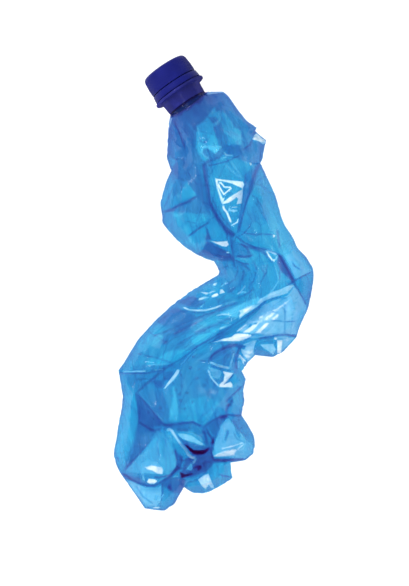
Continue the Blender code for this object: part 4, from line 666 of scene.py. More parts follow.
class StudioLook(bpy.types.PropertyGroup):
    """The floor, the lights and the camera."""

    floor: colour_setting("Floor colour", "Colour of the floor", (0.22, 0.22, 0.22))
    floor_glow: bpy.props.FloatProperty(
        name="Floor glow", description="How strongly the floor is lit from below", min=0, default=1.0)
    sky: bpy.props.FloatProperty(
        name="Room light", description="Strength of the even light of the room", min=0, default=0.25)
    camera_height: length_setting("Camera height", "Height of the camera above the floor", 3.02)
    frame_height: length_setting("Frame height", "Length of floor that the upright frame takes in", 0.3516)


def merged_mesh(node):
    """Points in mm and triangles of a CAD node, from a copy whose doubled points are merged."""
    shape = bmesh.new()
    shape.from_mesh(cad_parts[node].data)
    bmesh.ops.remove_doubles(shape, verts=shape.verts[:], dist=2e-6)
    bmesh.ops.triangulate(shape, faces=shape.faces[:])
    shape.verts.index_update()
    points = np.array([v.co for v in shape.verts]) / MM
    faces = np.array([[v.index for v in f.verts] for f in shape.faces])
    shape.free()
    return points, faces


def neck_distance(points):
    """How far points lie along the neck axis."""
    return (points - RING_CENTRE) @ ALONG


def neck_points(distance, radius, angles):
    """Points round the neck axis."""
    spokes = np.outer(np.cos(angles), RIGHT) + np.outer(np.sin(angles), ABOVE)
    radius = np.broadcast_to(radius, len(angles))
    return RING_CENTRE + ALONG * distance + spokes * radius[:, None]


def neck_angles(points):
    """Angle of points round the neck axis."""
    off = points - RING_CENTRE
    return np.arctan2(off @ ABOVE, off @ RIGHT)


def outer_film(points, faces):
    """The outer skin of the body, up to the neck's foot."""
    body = faces[(neck_distance(points)[faces] < NECK_FOOT + 0.05).all(axis=1)]
    label = np.arange(len(points))
    while True:
        low = label[body].min(axis=1)
        fresh = label.copy()
        for corner in range(3):
            np.minimum.at(fresh, body[:, corner], low)
        fresh = fresh[fresh]
        if (fresh == label).all():
            break
        label = fresh
    parts = label[body[:, 0]]
    sizes = {}
    for part in np.unique(parts):
        used = np.unique(body[parts == part])
        sizes[part] = np.ptp(points[used], axis=0).sum()
    body = body[parts == max(sizes, key=sizes.get)]
    used, body = np.unique(body, return_inverse=True)
    return points[used], body.reshape(-1, 3)


def edge_table(faces, count):
    """Each edge's two points, the three edges of each face, and how many faces share each edge."""
    pairs = np.sort(faces[:, [[0, 1], [1, 2], [2, 0]]].reshape(-1, 2), axis=1)
    keys, ids, shared = np.unique(pairs[:, 0] * count + pairs[:, 1], return_inverse=True, return_counts=True)
    return keys // count, keys % count, ids.reshape(-1, 3), shared


def face_normals(points, faces):
    """Normals of the faces, as long as twice their areas."""
    corner = points[faces]
    return np.cross(corner[:, 1] - corner[:, 0], corner[:, 2] - corner[:, 0])


def unit(vectors):
    """The vectors at length one."""
    return vectors / np.maximum(np.linalg.norm(vectors, axis=-1, keepdims=True), 1e-12)


def point_normals(points, faces):
    """Unit normals at the points."""
    total = np.zeros_like(points)
    normal = face_normals(points, faces)
    for corner in range(3):
        np.add.at(total, faces[:, corner], normal)
    return unit(total)


def fold_sharpness(points, faces):
    """How many refinements each edge keeps its fold for: none below 16 degrees, up to two."""
    _, _, ids, shared = edge_table(faces, len(points))
    total = np.zeros((len(shared), 3))
    normal = unit(face_normals(points, faces))
    for side in range(3):
        np.add.at(total, ids[:, side], normal)
    angle = np.degrees(2 * np.arccos(np.clip(np.linalg.norm(total, axis=1) / 2, 0, 1)))
    return np.where(shared == 2, np.clip((angle - SOFT_ANGLE) / 14, 0, 1.6), ALWAYS_SHARP)


def quartered(a, b, c, ab, bc, ca):
    """The four faces that come of splitting faces at the middles of their edges."""
    return [np.stack(corners, axis=1) for corners in ((a, ab, ca), (b, bc, ab), (c, ca, bc), (ab, bc, ca))]


def refine(points, faces, sharp):
    """Splits each face in four and smooths it by Loop's rules, but for edges whose sharpness is left."""
    count = len(points)
    first, second, ids, shared = edge_table(faces, count)
    hold = np.clip(sharp, 0, 1)[:, None]
    opposite = np.zeros((len(first), 3))
    for side, across in ((0, 2), (1, 0), (2, 1)):
        np.add.at(opposite, ids[:, side], points[faces[:, across]])
    middle = (points[first] + points[second]) / 2
    soft = 0.75 * middle + opposite / 8
    split = np.where(shared[:, None] == 2, middle * hold + soft * (1 - hold), middle)

    valence, held, weight = np.zeros((3, count))
    around, beside = np.zeros((2, count, 3))
    strict = (hold[:, 0] > 0).astype(float)
    for near, far in ((first, second), (second, first)):
        np.add.at(valence, near, 1)
        np.add.at(around, near, points[far])
        np.add.at(held, near, strict)
        np.add.at(weight, near, hold[:, 0])
        np.add.at(beside, near, points[far] * strict[:, None])
    pull = np.where(valence == 3, 3 / 16, 3 / (8 * valence))[:, None]
    smooth = (1 - valence[:, None] * pull) * points + pull * around
    crease = np.where((held == 2)[:, None], 0.75 * points + beside / 8, points)
    share = np.where(held >= 2, weight / np.maximum(held, 1), 0)[:, None]
    moved = smooth * (1 - share) + crease * share

    finer = np.concatenate(quartered(*faces.T, *(ids + count).T))
    new_first, new_second, _, _ = edge_table(finer, count + len(first))
    left = np.zeros(len(new_first))
    child = (new_second >= count) & (new_first < count)
    parent = new_second[child] - count
    inherits = (first[parent] == new_first[child]) | (second[parent] == new_first[child])
    kept = np.where(sharp[parent] >= ALWAYS_SHARP, ALWAYS_SHARP, np.maximum(sharp[parent] - 1, 0))
    left[child] = np.where(inherits, kept, 0)
    return np.vstack([moved, split]), finer, left


def split_edges(points, faces, chosen, middles):
    """Splits the chosen edges at their middles, and each face that they border into two, three or four."""
    _, _, ids, _ = edge_table(faces, len(points))
    fresh = np.full(len(chosen), -1)
    fresh[chosen] = len(points) + np.arange(chosen.sum())
    cut = fresh[ids]
    pattern = (cut >= 0) @ np.array([1, 2, 4])
    out = [faces[pattern == 0]]
    for turn in range(3):
        order = [turn, (turn + 1) % 3, (turn + 2) % 3]
        one = pattern == 1 << turn
        (a, b, c), ab = faces[one][:, order].T, cut[one, turn]
        out += [np.stack(corners, axis=1) for corners in ((a, ab, c), (ab, b, c))]
        two = pattern == (1 << turn) | (1 << order[1])
        (a, b, c), ab, bc = faces[two][:, order].T, cut[two, turn], cut[two, order[1]]
        out += [np.stack(corners, axis=1) for corners in ((ab, b, bc), (a, ab, bc), (a, bc, c))]
    out += quartered(*faces[pattern == 7].T, *cut[pattern == 7].T)
    return np.vstack([points, middles[chosen]]), np.vstack(out)


def fine_film(points, faces):
    """The refined skin: split in four once below and twice above, and still passing through the CAD skin."""
    sharp = fold_sharpness(points, faces)
    control = points.copy()
    for attempt in range(3):
        once, once_faces, left = refine(control, faces, sharp)
        twice, _, _ = refine(once, once_faces, left)
        if attempt < 2:
            control = control + 0.85 * (points - twice[:len(points)])
    count = len(once)
    _, _, ids, shared = edge_table(once_faces, count)
    normal = unit(face_normals(twice[:count], once_faces))
    upper = np.zeros(len(shared), bool)
    upper[ids[normal[:, 2] > -0.1]] = True
    upper |= shared == 1
    return split_edges(twice[:count], once_faces, upper, twice[count:])


def bowed_middles(points, faces):
    """Middles of the edges, bowed out by the surface's normals."""
    first, second, _, _ = edge_table(faces, len(points))
    normal = point_normals(points, faces)
    step = points[second] - points[first]
    bow = (step * normal[second]).sum(axis=1)[:, None] * normal[second]
    bow -= (step * normal[first]).sum(axis=1)[:, None] * normal[first]
    return (points[first] + points[second]) / 2 + bow / 8


def along_line(places, line):
    """How far each place lies from a line of points, how far along it and on which side; and its length."""
    best = np.full(len(places), 1e9)
    along, side = np.zeros((2, len(places)))
    start = 0.0
    for a, b in zip(line, line[1:]):
        step = b - a
        length = np.hypot(*step)
        part = np.clip((places - a) @ step / length ** 2, 0, 1)
        off = places - (a + part[:, None] * step)
        gap = np.hypot(*off.T)
        closer = gap < best
        best[closer] = gap[closer]
        along[closer] = start + part[closer] * length
        side[closer] = np.sign(step[0] * off[:, 1] - step[1] * off[:, 0])[closer]
        start += length
    return best, along, side, start


def depth_inside(places, corners):
    """How far places lie inside a polygon, negative outside it."""
    loop = np.vstack([corners, corners[:1]])
    gap = along_line(places, loop)[0]
    inside = np.zeros(len(places), bool)
    for a, b in zip(loop, loop[1:]):
        crosses = (a[1] > places[:, 1]) != (b[1] > places[:, 1])
        with np.errstate(divide="ignore", invalid="ignore"):
            at = a[0] + (places[:, 1] - a[1]) * (b[0] - a[0]) / (b[1] - a[1])
        inside ^= crosses & (places[:, 0] < at)
    return np.where(inside, gap, -gap)


def smooth_step(value):
    """0 below 0, 1 above 1 and a soft slope between."""
    value = np.clip(value, 0, 1)
    return value * value * (3 - 2 * value)


def near_line(places, line, reach):
    """Which places lie in the box round a line of points."""
    return ((places > line.min(axis=0) - reach) & (places < line.max(axis=0) + reach)).all(axis=1)


def folds_near(table, places, upper, reach):
    """For each fold of a table: its numbers, the points near it, and their distance from it and its ends."""
    for *numbers, line in table.values():
        line = np.array(line, float)
        near = np.nonzero(near_line(places, line, reach) & (upper > 0))[0]
        gap, along, _, length = along_line(places[near], line)
        yield numbers, near, gap, np.minimum(along, length - along)


def film_marks(points, upper):
    """Tone (thickness with painted light and shade), painted sheen and highlights, crease darkness (partly
    painted shade) and thickness of the film at each point, and its place along and across the body.
    """
    places = points[:, :2] + DRAWING_SHIFT
    tone, painted_sheen, crease = np.zeros((3, len(points)))
    for facet_tone, facet_sheen, corners in FACETS.values():
        corners = np.array(corners, float)
        near = np.nonzero(near_line(places, corners, 1) & (upper > 0))[0]
        # A clear facet has a softer edge than one with a painted highlight.
        soft = 0.42 + 0.4 * max(0, 1 - facet_sheen * 2)
        cover = smooth_step(0.5 + depth_inside(places[near], corners) / soft / 2) * upper[near]
        tone[near] += (facet_tone - tone[near]) * cover
        painted_sheen[near] += (facet_sheen - painted_sheen[near]) * cover
    for x, y, radius in BEADS:
        # A painted dark rim of shade, and a painted glint towards the neck and to the left.
        rim = np.hypot(places[:, 0] - x, places[:, 1] - y) / radius
        crease = np.maximum(crease, 0.32 * upper * np.clip(1.6 - np.abs(rim - 0.9) * 2.4, 0, 1))
        glint = np.hypot(places[:, 0] - x + 0.35 * radius, places[:, 1] - y - 0.35 * radius) / radius
        painted_sheen = np.maximum(painted_sheen, 0.35 * upper * smooth_step(1.4 - glint * 1.6))
    for table, mark in ((VALLEYS, crease), (CRESTS, painted_sheen)):
        for (_, _, strength, width), near, gap, end in folds_near(table, places, upper, 2):
            fade = smooth_step(end / 2.5 + 0.3) * upper[near]
            mark[near] = np.maximum(mark[near], strength * fade * smooth_step(1.3 - gap / width / 1.5))
    foot = NECK_FOOT - neck_distance(points)
    thick = 0.24 * np.clip(1 - foot / 30, 0, 1) ** 1.5
    for x, y, reach, strength in STIFF_SPOTS:
        away = np.hypot(places[:, 0] - x, places[:, 1] - y)
        thick = np.maximum(thick, strength * smooth_step(1.35 - away / reach))
    gap, along, side, _ = along_line(places, np.array(MIDDLE_LINE, float))
    return {"tone": tone, "painted_sheen": painted_sheen, "crease": crease, "thick": thick,
            "along": along, "across": side * gap}


def upper_share(points, faces):
    """1 on the upper film and 0 on the lower, with a soft change at its edge."""
    return smooth_step(point_normals(points, faces)[:, 2] * 2.2 + 0.05)


def sharpen_marks(points, faces):
    """Splits the faces over which the marks change quickly, so that the marks' edges stay crisp."""
    for step in MARK_STEPS:
        marks = film_marks(points, upper_share(points, faces))
        change = np.zeros(len(faces))
        for key in ("tone", "painted_sheen", "crease"):
            change = np.maximum(change, np.ptp(marks[key][faces], axis=1))
        _, _, ids, shared = edge_table(faces, len(points))
        chosen = np.zeros(len(shared), bool)
        chosen[ids[change > step]] = True
        chosen[shared == 1] = False
        points, faces = split_edges(points, faces, chosen, bowed_middles(points, faces))
    return points, faces


def crumpled_heights(places, spacing, seed):
    """Heights between -1 and 1 of a crumpled sheet: flat triangles of about the spacing's size."""
    rng = np.random.default_rng(seed)
    low, high = places.min(axis=0) - 2 * spacing, places.max(axis=0) + 2 * spacing
    columns, rows = np.ceil((high - low) / spacing).astype(int)
    grid = np.stack(np.meshgrid(np.arange(columns), np.arange(rows)), axis=-1).reshape(-1, 2)
    knots = low + (grid + rng.uniform(-0.46, 0.46, grid.shape)) * spacing
    height = rng.uniform(-1, 1, len(knots))
    made = delaunay_2d_cdt([Vector(k) for k in knots], [], [], 0, 1e-4)
    height = height[[group[0] for group in made[3]]]
    knots = np.array([tuple(v) for v in made[0]])
    out = np.zeros(len(places))
    for i, j, k in made[2]:
        corner = knots[[i, j, k]]
        boxed = (places >= corner.min(axis=0)) & (places <= corner.max(axis=0))
        near = np.nonzero(boxed.all(axis=1))[0]
        if not len(near):
            continue
        base = (corner[1:] - corner[0]).T
        part = (places[near] - corner[0]) @ np.linalg.inv(base).T
        held = (part >= -1e-6).all(axis=1) & (part.sum(axis=1) <= 1 + 1e-6)
        near, part = near[held], part[held]
        out[near] = height[i] + part[:, 0] * (height[j] - height[i]) + part[:, 1] * (height[k] - height[i])
    return out


def crumple(points, faces, look):
    """Presses the creases, the crests and the finer crumpling into the skin."""
    normal = point_normals(points, faces)
    upper = upper_share(points, faces)
    places = points[:, :2] + DRAWING_SHIFT
    lift = np.zeros(len(points))
    for table, sign in ((VALLEYS, -1), (CRESTS, 1)):
        for (height, width, _, _), near, gap, end in folds_near(table, places, upper, 5):
            fade = smooth_step(end / 3 + 0.25) * upper[near]
            lift[near] += sign * height * fade * np.clip(1 - gap / width, 0, 1) ** 1.3
    thick = film_marks(points, upper)["thick"]
    loose = smooth_step((NECK_FOOT - neck_distance(points) - 1) / 6) * (1 - np.clip(thick * 4, 0, 0.9))
    height = look.crumple / MM
    for side, seed in ((1, 3), (-1, 8)):
        facing = smooth_step(side * normal[:, 2] * 2) * loose * height
        rough = crumpled_heights(points[:, :2], ROUGH_SPACING, seed + 20) * 0.5 + 0.6
        lift += facing * rough * crumpled_heights(points[:, :2], CRUMPLE_SPACING, seed)
        lift += 0.22 * facing * rough * crumpled_heights(points[:, :2], FINE_SPACING, seed + 5)
    moved = points + normal * (lift[:, None] + SKIN_LIFT)
    moved[:, 2] = np.maximum(moved[:, 2], OUTER_FLOOR)
    return moved


def thread_radius(distance, angles):
    """The neck's radius over its screw thread."""
    turn = (distance - THREAD_START) / THREAD_PITCH - angles / (2 * math.pi)
    from_crest = np.abs(turn - np.round(turn)) * 2
    crest = smooth_step((0.62 - from_crest) / 0.3)
    run = smooth_step((distance - THREAD_START) / 1.2) * smooth_step((THREAD_END - distance) / 1.2)
    return THREAD_ROOT + (THREAD_CREST - THREAD_ROOT) * crest * run


def neck_rows(angles):
    """The neck's rings of points from its foot up the outside, over the mouth and down the bore."""
    threaded = [(distance, thread_radius(distance, angles)) for distance in np.arange(6.2, 14.5, 0.4)]
    profile = NECK_OUTSIDE + threaded + NECK_INSIDE
    return [neck_points(distance, radius, angles) for distance, radius in profile]


def make_mesh_object(name, points, faces, material, marks=None, sharp_angle=None):
    """A mesh object at the origin, from points in mm, with its point marks and its material."""
    mesh = bpy.data.meshes.new(name)
    mesh.from_pydata((np.asarray(points) * MM).tolist(), [], np.asarray(faces).tolist())
    mesh.polygons.foreach_set("use_smooth", [True] * len(mesh.polygons))
    if sharp_angle is not None:
        mesh.set_sharp_from_angle(angle=math.radians(sharp_angle))
    for key, values in (marks or {}).items():
        layer = mesh.attributes.new(key, "FLOAT", "POINT")
        layer.data.foreach_set("value", np.asarray(values, np.float32))
    mesh.materials.append(material)
    mesh.validate()
    thing = bpy.data.objects.new(name, mesh)
    bpy.context.scene.collection.objects.link(thing)
    return thing


def ring_order(points, faces):
    """The open rim's points, sorted round the neck axis, and whether the faces run along it in that order."""
    directed = np.concatenate([faces[:, [0, 1]], faces[:, [1, 2]], faces[:, [2, 0]]])
    forward = {tuple(pair) for pair in directed.tolist()}
    rim = np.array(sorted({point for a, b in forward if (b, a) not in forward for point in (a, b)}))
    rim = rim[np.argsort(neck_angles(points[rim]))]
    return rim, (int(rim[0]), int(rim[1])) in forward


def dressed_skin(points, faces, rim, angles, look):
    """A skin with its creases pressed in, ending in the neck's round foot, and its marks."""
    points = points.copy()
    points[rim] = neck_points(NECK_FOOT, NECK_FOOT_RADIUS, angles)
    marks = film_marks(points, upper_share(points, faces))
    points = crumple(points, faces, look)
    points[rim] = neck_points(NECK_FOOT, NECK_FOOT_RADIUS, angles)
    return points, marks


def strips_between(rings, forward):
    """Faces that join each ring of points to the next."""
    strips = []
    for low, high in zip(rings, rings[1:]):
        next_low, next_high = np.roll(low, -1), np.roll(high, -1)
        if not forward:
            low, high, next_low, next_high = next_low, next_high, low, high
        strips += [np.stack([next_low, low, high], axis=1), np.stack([next_low, high, next_high], axis=1)]
    return strips


def shell_mesh(look):
    """The whole bottle as one closed shell, open at its mouth: outer skin, neck, bore and inner skin."""
    inner, inner_faces = fine_film(*outer_film(*merged_mesh("bottle")))
    outer, outer_faces = sharpen_marks(inner, inner_faces)
    rim, forward = ring_order(inner, inner_faces)
    angles = neck_angles(inner[rim])
    outer, marks = dressed_skin(outer, outer_faces, rim, angles, look)
    inner, inner_marks = dressed_skin(inner, inner_faces, rim, angles, look)
    near_neck = smooth_step(1 - (NECK_FOOT - neck_distance(inner)) / 8)
    wall = look.wall / MM * (1 + 1.5 * inner_marks["thick"]) + 1.2 * near_neck
    inner = inner - point_normals(inner, inner_faces) * wall[:, None]
    inner[:, 2] = np.maximum(inner[:, 2], INNER_FLOOR)
    inner[rim] = neck_points(NECK_FOOT, BORE_RADIUS, angles)

    rows = neck_rows(angles)
    count = len(outer)
    start = count + len(inner)
    neck_rings = [start + k * len(rim) + np.arange(len(rim)) for k in range(len(rows))]
    strips = strips_between([rim, *neck_rings, rim + count], forward)
    solid = np.vstack([outer, inner] + rows)
    solid_faces = np.vstack([outer_faces, inner_faces[:, ::-1] + count] + strips)
    full = {}
    for key, values in marks.items():
        of_neck = np.full(len(solid) - start, 1.0 if key == "thick" else 0.0)
        full[key] = np.concatenate([values, inner_marks[key], of_neck])
    foot = neck_distance(solid) - NECK_FOOT
    # A painted dark line of shade round the neck's foot, where it meets the body.
    full["crease"] = np.maximum(full["crease"], np.clip(1.5 - np.abs(foot - 0.2) / 0.45, 0, 1))
    return solid, solid_faces, full


class Signal:
    """An output of a node. Reckoning with it adds Math nodes behind it."""

    def __init__(self, tree, socket):
        self.tree = tree
        self.socket = socket

    def __add__(self, other):
        return add_math(self.tree, "ADD", self, other)

    __radd__ = __add__

    def __sub__(self, other):
        return add_math(self.tree, "SUBTRACT", self, other)

    def __rsub__(self, other):
        return add_math(self.tree, "SUBTRACT", other, self)

    def __mul__(self, other):
        return add_math(self.tree, "MULTIPLY", self, other)

    def __rtruediv__(self, other):
        return add_math(self.tree, "DIVIDE", other, self)

    def __pow__(self, other):
        return add_math(self.tree, "POWER", self, other)

    def at_least(self, other):
        """The signal, or the other value where that is higher."""
        return add_math(self.tree, "MAXIMUM", self, other)

    def at_most(self, other):
        """The signal, or the other value where that is lower."""
        return add_math(self.tree, "MINIMUM", self, other)


def feed(socket, value):
    """Gives an input a signal, a number, a vector or the three numbers of a colour."""
    if isinstance(value, Signal):
        value.tree.links.new(value.socket, socket)
    elif socket.type == "RGBA":
        socket.default_value = (*value, 1.0)
    else:
        socket.default_value = value


def add_node(tree, kind, inputs=(), output=0, **settings):
    """A new node's output, once its settings are made and its inputs are fed in order or by name."""
    node = tree.nodes.new(kind)
    for key, value in settings.items():
        setattr(node, key, value)
    for key, value in inputs.items() if isinstance(inputs, dict) else enumerate(inputs):
        feed(node.inputs[key], value)
    return Signal(tree, node.outputs[output])


def add_math(tree, operation, *values):
    """A Math node fed by numbers or signals."""
    return add_node(tree, "ShaderNodeMath", values, operation=operation)


def empty_material(name):
    """A material without nodes, its node tree and the object's own coordinates."""
    material = bpy.data.materials.new(name)
    material.use_nodes = True
    tree = material.node_tree
    tree.nodes.clear()
    return material, tree, add_node(tree, "ShaderNodeTexCoord", output="Object")


def show_surface(shader):
    """Makes a shader the surface of its material."""
    feed(shader.tree.nodes.new("ShaderNodeOutputMaterial").inputs["Surface"], shader)


def add_mix_colour(tree, factor, first, second, blend="MIX"):
    """A Mix Color node, whose colour inputs are its seventh and eighth."""
    inputs = {0: factor, 6: first, 7: second}
    return add_node(tree, "ShaderNodeMix", inputs, 2, data_type="RGBA", blend_type=blend)


def add_mix_shader(tree, factor, first, second):
    """A Mix Shader node."""
    return add_node(tree, "ShaderNodeMixShader", (factor, first, second))


def add_noise(place, scale, detail=3.0, roughness=0.5):
    """A Noise Texture's value."""
    inputs = {"Vector": place, "Scale": scale, "Detail": detail, "Roughness": roughness}
    return add_node(place.tree, "ShaderNodeTexNoise", inputs)


def add_mark(tree, name):
    """A point mark of the mesh."""
    return add_node(tree, "ShaderNodeAttribute", output="Fac", attribute_name=name)


def add_cells(place, scale, feature, output):
    """A Voronoi Texture of straight-edged cells, flattened so that they reach through the film."""
    turn = {"Vector": place, "Rotation": (0.0, 0.0, math.radians(35)), "Scale": (1.0, 0.6, 0.45)}
    inputs = {"Vector": add_node(place.tree, "ShaderNodeMapping", turn), "Scale": scale}
    return add_node(place.tree, "ShaderNodeTexVoronoi", inputs, output, feature=feature)


def add_level_line(value, level):
    """1 where a value passes a level and 0 elsewhere: a thin line."""
    away = add_math(value.tree, "ABSOLUTE", value - level)
    return (1.0 - away * 45.0).at_least(0.0)


def add_streaks(place, scale, detail):
    """A noise of long thin streaks that run along the bottle."""
    tree = place.tree
    height = add_node(tree, "ShaderNodeSeparateXYZ", (place,), "Z")
    across, along = add_mark(tree, "across") * 0.32, add_mark(tree, "along") * 0.035
    streaked = add_node(tree, "ShaderNodeCombineXYZ", (along, across, height * 60.0))
    return add_noise(streaked, scale, detail, 0.6)


def film_material(look):
    """Clear blue blown film: tinted, hazy and glossy, darker where it is doubled and where shade is painted,
    with painted highlights and sheen at its crests and facets.
    """
    material, tree, place = empty_material("clear_blue_film")
    tone, painted_sheen, crease, thick = (add_mark(tree, name) for name in ("tone", "painted_sheen", "crease", "thick"))
    loose = 1.0 - (thick * 2.5).at_most(1.0)

    # The finest crumpling: straight-edged facets, each a little darker or paler, with dark folds between that
    # are partly doubled film and partly painted shade.
    cell_edge = add_cells(place, look.facets, "DISTANCE_TO_EDGE", "Distance")
    cell_tone = add_cells(place, look.facets, "F1", "Color") - 0.5
    folded = (add_noise(place, 40.0, 1.0) * 3.0 - 1.0).at_least(0.0)
    fold = (1.0 - cell_edge * (2.5 / look.facets / MM)).at_least(0.0) * folded * loose

    # Wrinkles that run along the bottle, with thin dark and pale lines in places.
    wrinkle = add_streaks(place, 1.0, 4.0) - 0.5
    flow = add_streaks(place, 1.7, 1.5)
    lined = loose * (add_noise(place, 55.0, 1.0) * 4.0 - 1.6).at_least(0.0)
    dark_line = add_level_line(flow, 0.46) * lined
    pale_line = add_level_line(flow, 0.6) * lined

    relief = cell_edge * (0.10 / look.facets) + wrinkle * 0.0005 + add_noise(place, 300.0, 2.0) * 0.00012
    bump = add_node(tree, "ShaderNodeBump", {"Distance": 1.0, "Height": relief})
    facing = add_node(tree, "ShaderNodeLayerWeight", {"Blend": 0.5, "Normal": bump}, "Facing")
    mirror = (facing ** 5.0 * 0.05 + 0.035) * (loose * 0.65 + 0.35)

    # What one layer lets through, then what folds that lie double, painted shade on facets and in creases,
    # the darkest painted shadows and thick walls take away.
    patches = (add_noise(place, 34.0, 7.0, 0.65) - 0.5) * 0.8
    depth = (1.0 + facing ** 2.0 * 0.6 + patches + facing ** 8.0 * 0.6 + wrinkle * 1.5 + dark_line * 0.7
             + cell_tone * 0.5 + fold * 0.8 + thick * 1.4)
    single = depth.at_most(1.0)
    # Facets whose tone is raised, thin and painted lighter, take the thin film's tint.
    one_layer = add_mix_colour(tree, tone.at_least(0.0), look.tint, look.thin_and_lit_tint)
    tint = add_node(tree, "ShaderNodeGamma", (one_layer, single))
    doubled_and_shaded = (tone * -1.0).at_least(0.0)
    pinched_and_shaded = (doubled_and_shaded - 1.0).at_least(0.0)
    layers = doubled_and_shaded + pinched_and_shaded * 4.0 + crease * 1.5 + thick * 0.8 + (depth - single) * 0.5
    deepened = add_node(tree, "ShaderNodeGamma", (look.doubled_tint, layers))
    seen_through = add_mix_colour(tree, 1.0, tint, deepened, "MULTIPLY")
    clear = add_node(tree, "ShaderNodeBsdfTransparent", {"Color": seen_through})

    # The haze: painted highlights and sheen at crests and facets, pale along stretched wrinkles, and deep
    # blue where the wall is thick, in painted crease shade and on the neck, which has painted shadows and a
    # painted dark line at its foot.
    uneven = (add_noise(place, 220.0, 3.0, 0.6) * 1.6 - 0.8) * (painted_sheen * painted_sheen)
    stretched = (wrinkle * 0.8 - 0.1).at_least(0.0) + pale_line * 0.14
    painted_sheen = (painted_sheen + uneven).at_least(0.0) * (1.0 - crease * 0.9)
    painted_sheen = (painted_sheen + stretched * loose).at_most(1.0)
    deep = (crease + thick + doubled_and_shaded * 0.6).at_most(1.0)
    shadow = (add_noise(place, 110.0, 3.0, 0.6) * 3.0 - 1.1).at_least(0.0).at_most(1.0)
    neck_blue = add_mix_colour(tree, crease * thick, add_mix_colour(tree, shadow, *NECK_BLUES), NECK_LINE)
    colour = add_mix_colour(tree, deep, look.haze, neck_blue)
    colour = add_mix_colour(tree, (painted_sheen * 4.0).at_most(1.0), colour, PAINTED_SHEEN_BLUE)
    colour = add_mix_colour(tree, (painted_sheen * 2.4 - 0.7).at_least(0.0).at_most(1.0), colour, PAINTED_HIGHLIGHT_WHITE)
    scattered = add_node(tree, "ShaderNodeBsdfDiffuse", {"Color": colour, "Normal": bump})
    through = add_node(tree, "ShaderNodeBsdfTranslucent", {"Color": colour})
    haze = add_mix_shader(tree, 0.5, scattered, through)
    share = (look.haze_share + painted_sheen * 0.85 + thick ** 3.0 * 0.75).at_most(0.95)

    gloss = add_node(tree, "ShaderNodeBsdfGlossy", {"Roughness": look.roughness, "Normal": bump})
    show_surface(add_mix_shader(tree, mirror, add_mix_shader(tree, share, clear, haze), gloss))
    return material


def moulded_material(name, colour, roughness, wear):
    """Moulded plastic: slightly mottled, finely pitted and rubbed paler in places."""
    material, tree, place = empty_material(name)
    mottle = add_noise(place, 160.0, 4.0)
    darker = [c * 0.75 for c in colour]
    paler = [min(1.0, c * 1.2 + 0.002) for c in colour]
    rubbed = [min(1, c + 0.05) for c in colour]
    scuff = add_math(tree, "GREATER_THAN", add_noise(place, 520.0, 5.0, 0.7), 0.66)
    base = add_mix_colour(tree, scuff * wear, add_mix_colour(tree, mottle, darker, paler), rubbed)
    pits = {"Strength": 0.25, "Distance": 0.0001, "Height": add_noise(place, 1400.0, 2.0)}
    show_surface(add_node(tree, "ShaderNodeBsdfPrincipled", {
        "Base Color": base, "Roughness": mottle * 0.2 + (roughness - 0.1),
        "Normal": add_node(tree, "ShaderNodeBump", pits), "IOR": 1.5, "Specular IOR Level": 0.12}))
    return material


def turned_mesh(profile, sides):
    """Points and faces of a solid turned round Z from a closed profile of radius and height."""
    points = []
    rings = []
    for radius, height in profile:
        if radius == 0:
            rings.append([len(points)] * sides)
            points.append((0.0, 0.0, height))
            continue
        rings.append(list(range(len(points), len(points) + sides)))
        for k in range(sides):
            angle = 2 * math.pi * k / sides
            points.append((radius * math.cos(angle), radius * math.sin(angle), height))
    faces = []
    for near, far in zip(rings, rings[1:] + rings[:1]):
        for k in range(sides):
            after = (k + 1) % sides
            for face in ((near[k], near[after], far[after]), (near[k], far[after], far[k])):
                if len(set(face)) == 3:
                    faces.append(face)
    return np.array(points), np.array(faces)


def on_neck(points):
    """Points made round Z, set on the neck axis in mm."""
    return RING_CENTRE + points[:, :1] * RIGHT - points[:, 1:2] * ABOVE + points[:, 2:] * ALONG


def ring_repeat_tree():
    """Geometry nodes that repeat a part round Z: their count and the material are named inputs."""
    tree = bpy.data.node_groups.new("ring_repeat", "GeometryNodeTree")
    interface = tree.interface
    keys = {}
    for name, kind in (("Part", "Geometry"), ("Count", "Int"), ("Material", "Material")):
        keys[name] = interface.new_socket(name, in_out="INPUT", socket_type="NodeSocket" + kind).identifier
    interface.new_socket("Ring", in_out="OUTPUT", socket_type="NodeSocketGeometry")
    inputs = tree.nodes.new("NodeGroupInput")
    part, count, cover = (Signal(tree, inputs.outputs[name]) for name in keys)
    places = add_node(tree, "GeometryNodePoints", {"Count": count})
    angle = add_node(tree, "GeometryNodeInputIndex") * (2 * math.pi / count)
    spin = add_node(tree, "ShaderNodeCombineXYZ", {"Z": angle})
    repeat = {"Points": places, "Instance": part, "Rotation": spin}
    ring = add_node(tree, "GeometryNodeInstanceOnPoints", repeat)
    ring = add_node(tree, "GeometryNodeRealizeInstances", (ring,))
    ring = add_node(tree, "GeometryNodeSetMaterial", {"Geometry": ring, "Material": cover})
    feed(tree.nodes.new("NodeGroupOutput").inputs[0], ring)
    return tree, keys["Count"], keys["Material"]


def repeated_round(points, faces, count, material):
    """Points and faces of a part repeated round Z by geometry nodes."""
    part = make_mesh_object("ring_part", points, faces, material)
    tree, count_key, cover_key = ring_repeat_tree()
    modifier = part.modifiers.new("ring", "NODES")
    modifier.node_group = tree
    modifier[count_key] = count
    modifier[cover_key] = material
    graph = bpy.context.evaluated_depsgraph_get()
    made = bpy.data.meshes.new_from_object(part.evaluated_get(graph), depsgraph=graph)
    made_points = np.array([v.co for v in made.vertices]) / MM
    made_faces = np.array([f.vertices[:] for f in made.polygons])
    part.modifiers.remove(modifier)
    bpy.data.objects.remove(part)
    bpy.data.meshes.remove(made)
    return made_points, made_faces


def joined(*parts):
    """Several meshes' points and faces as one."""
    points, faces, start = [], [], 0
    for part_points, part_faces in parts:
        points.append(part_points)
        faces.append(part_faces + start)
        start += len(part_points)
    return np.vstack(points), np.vstack(faces)


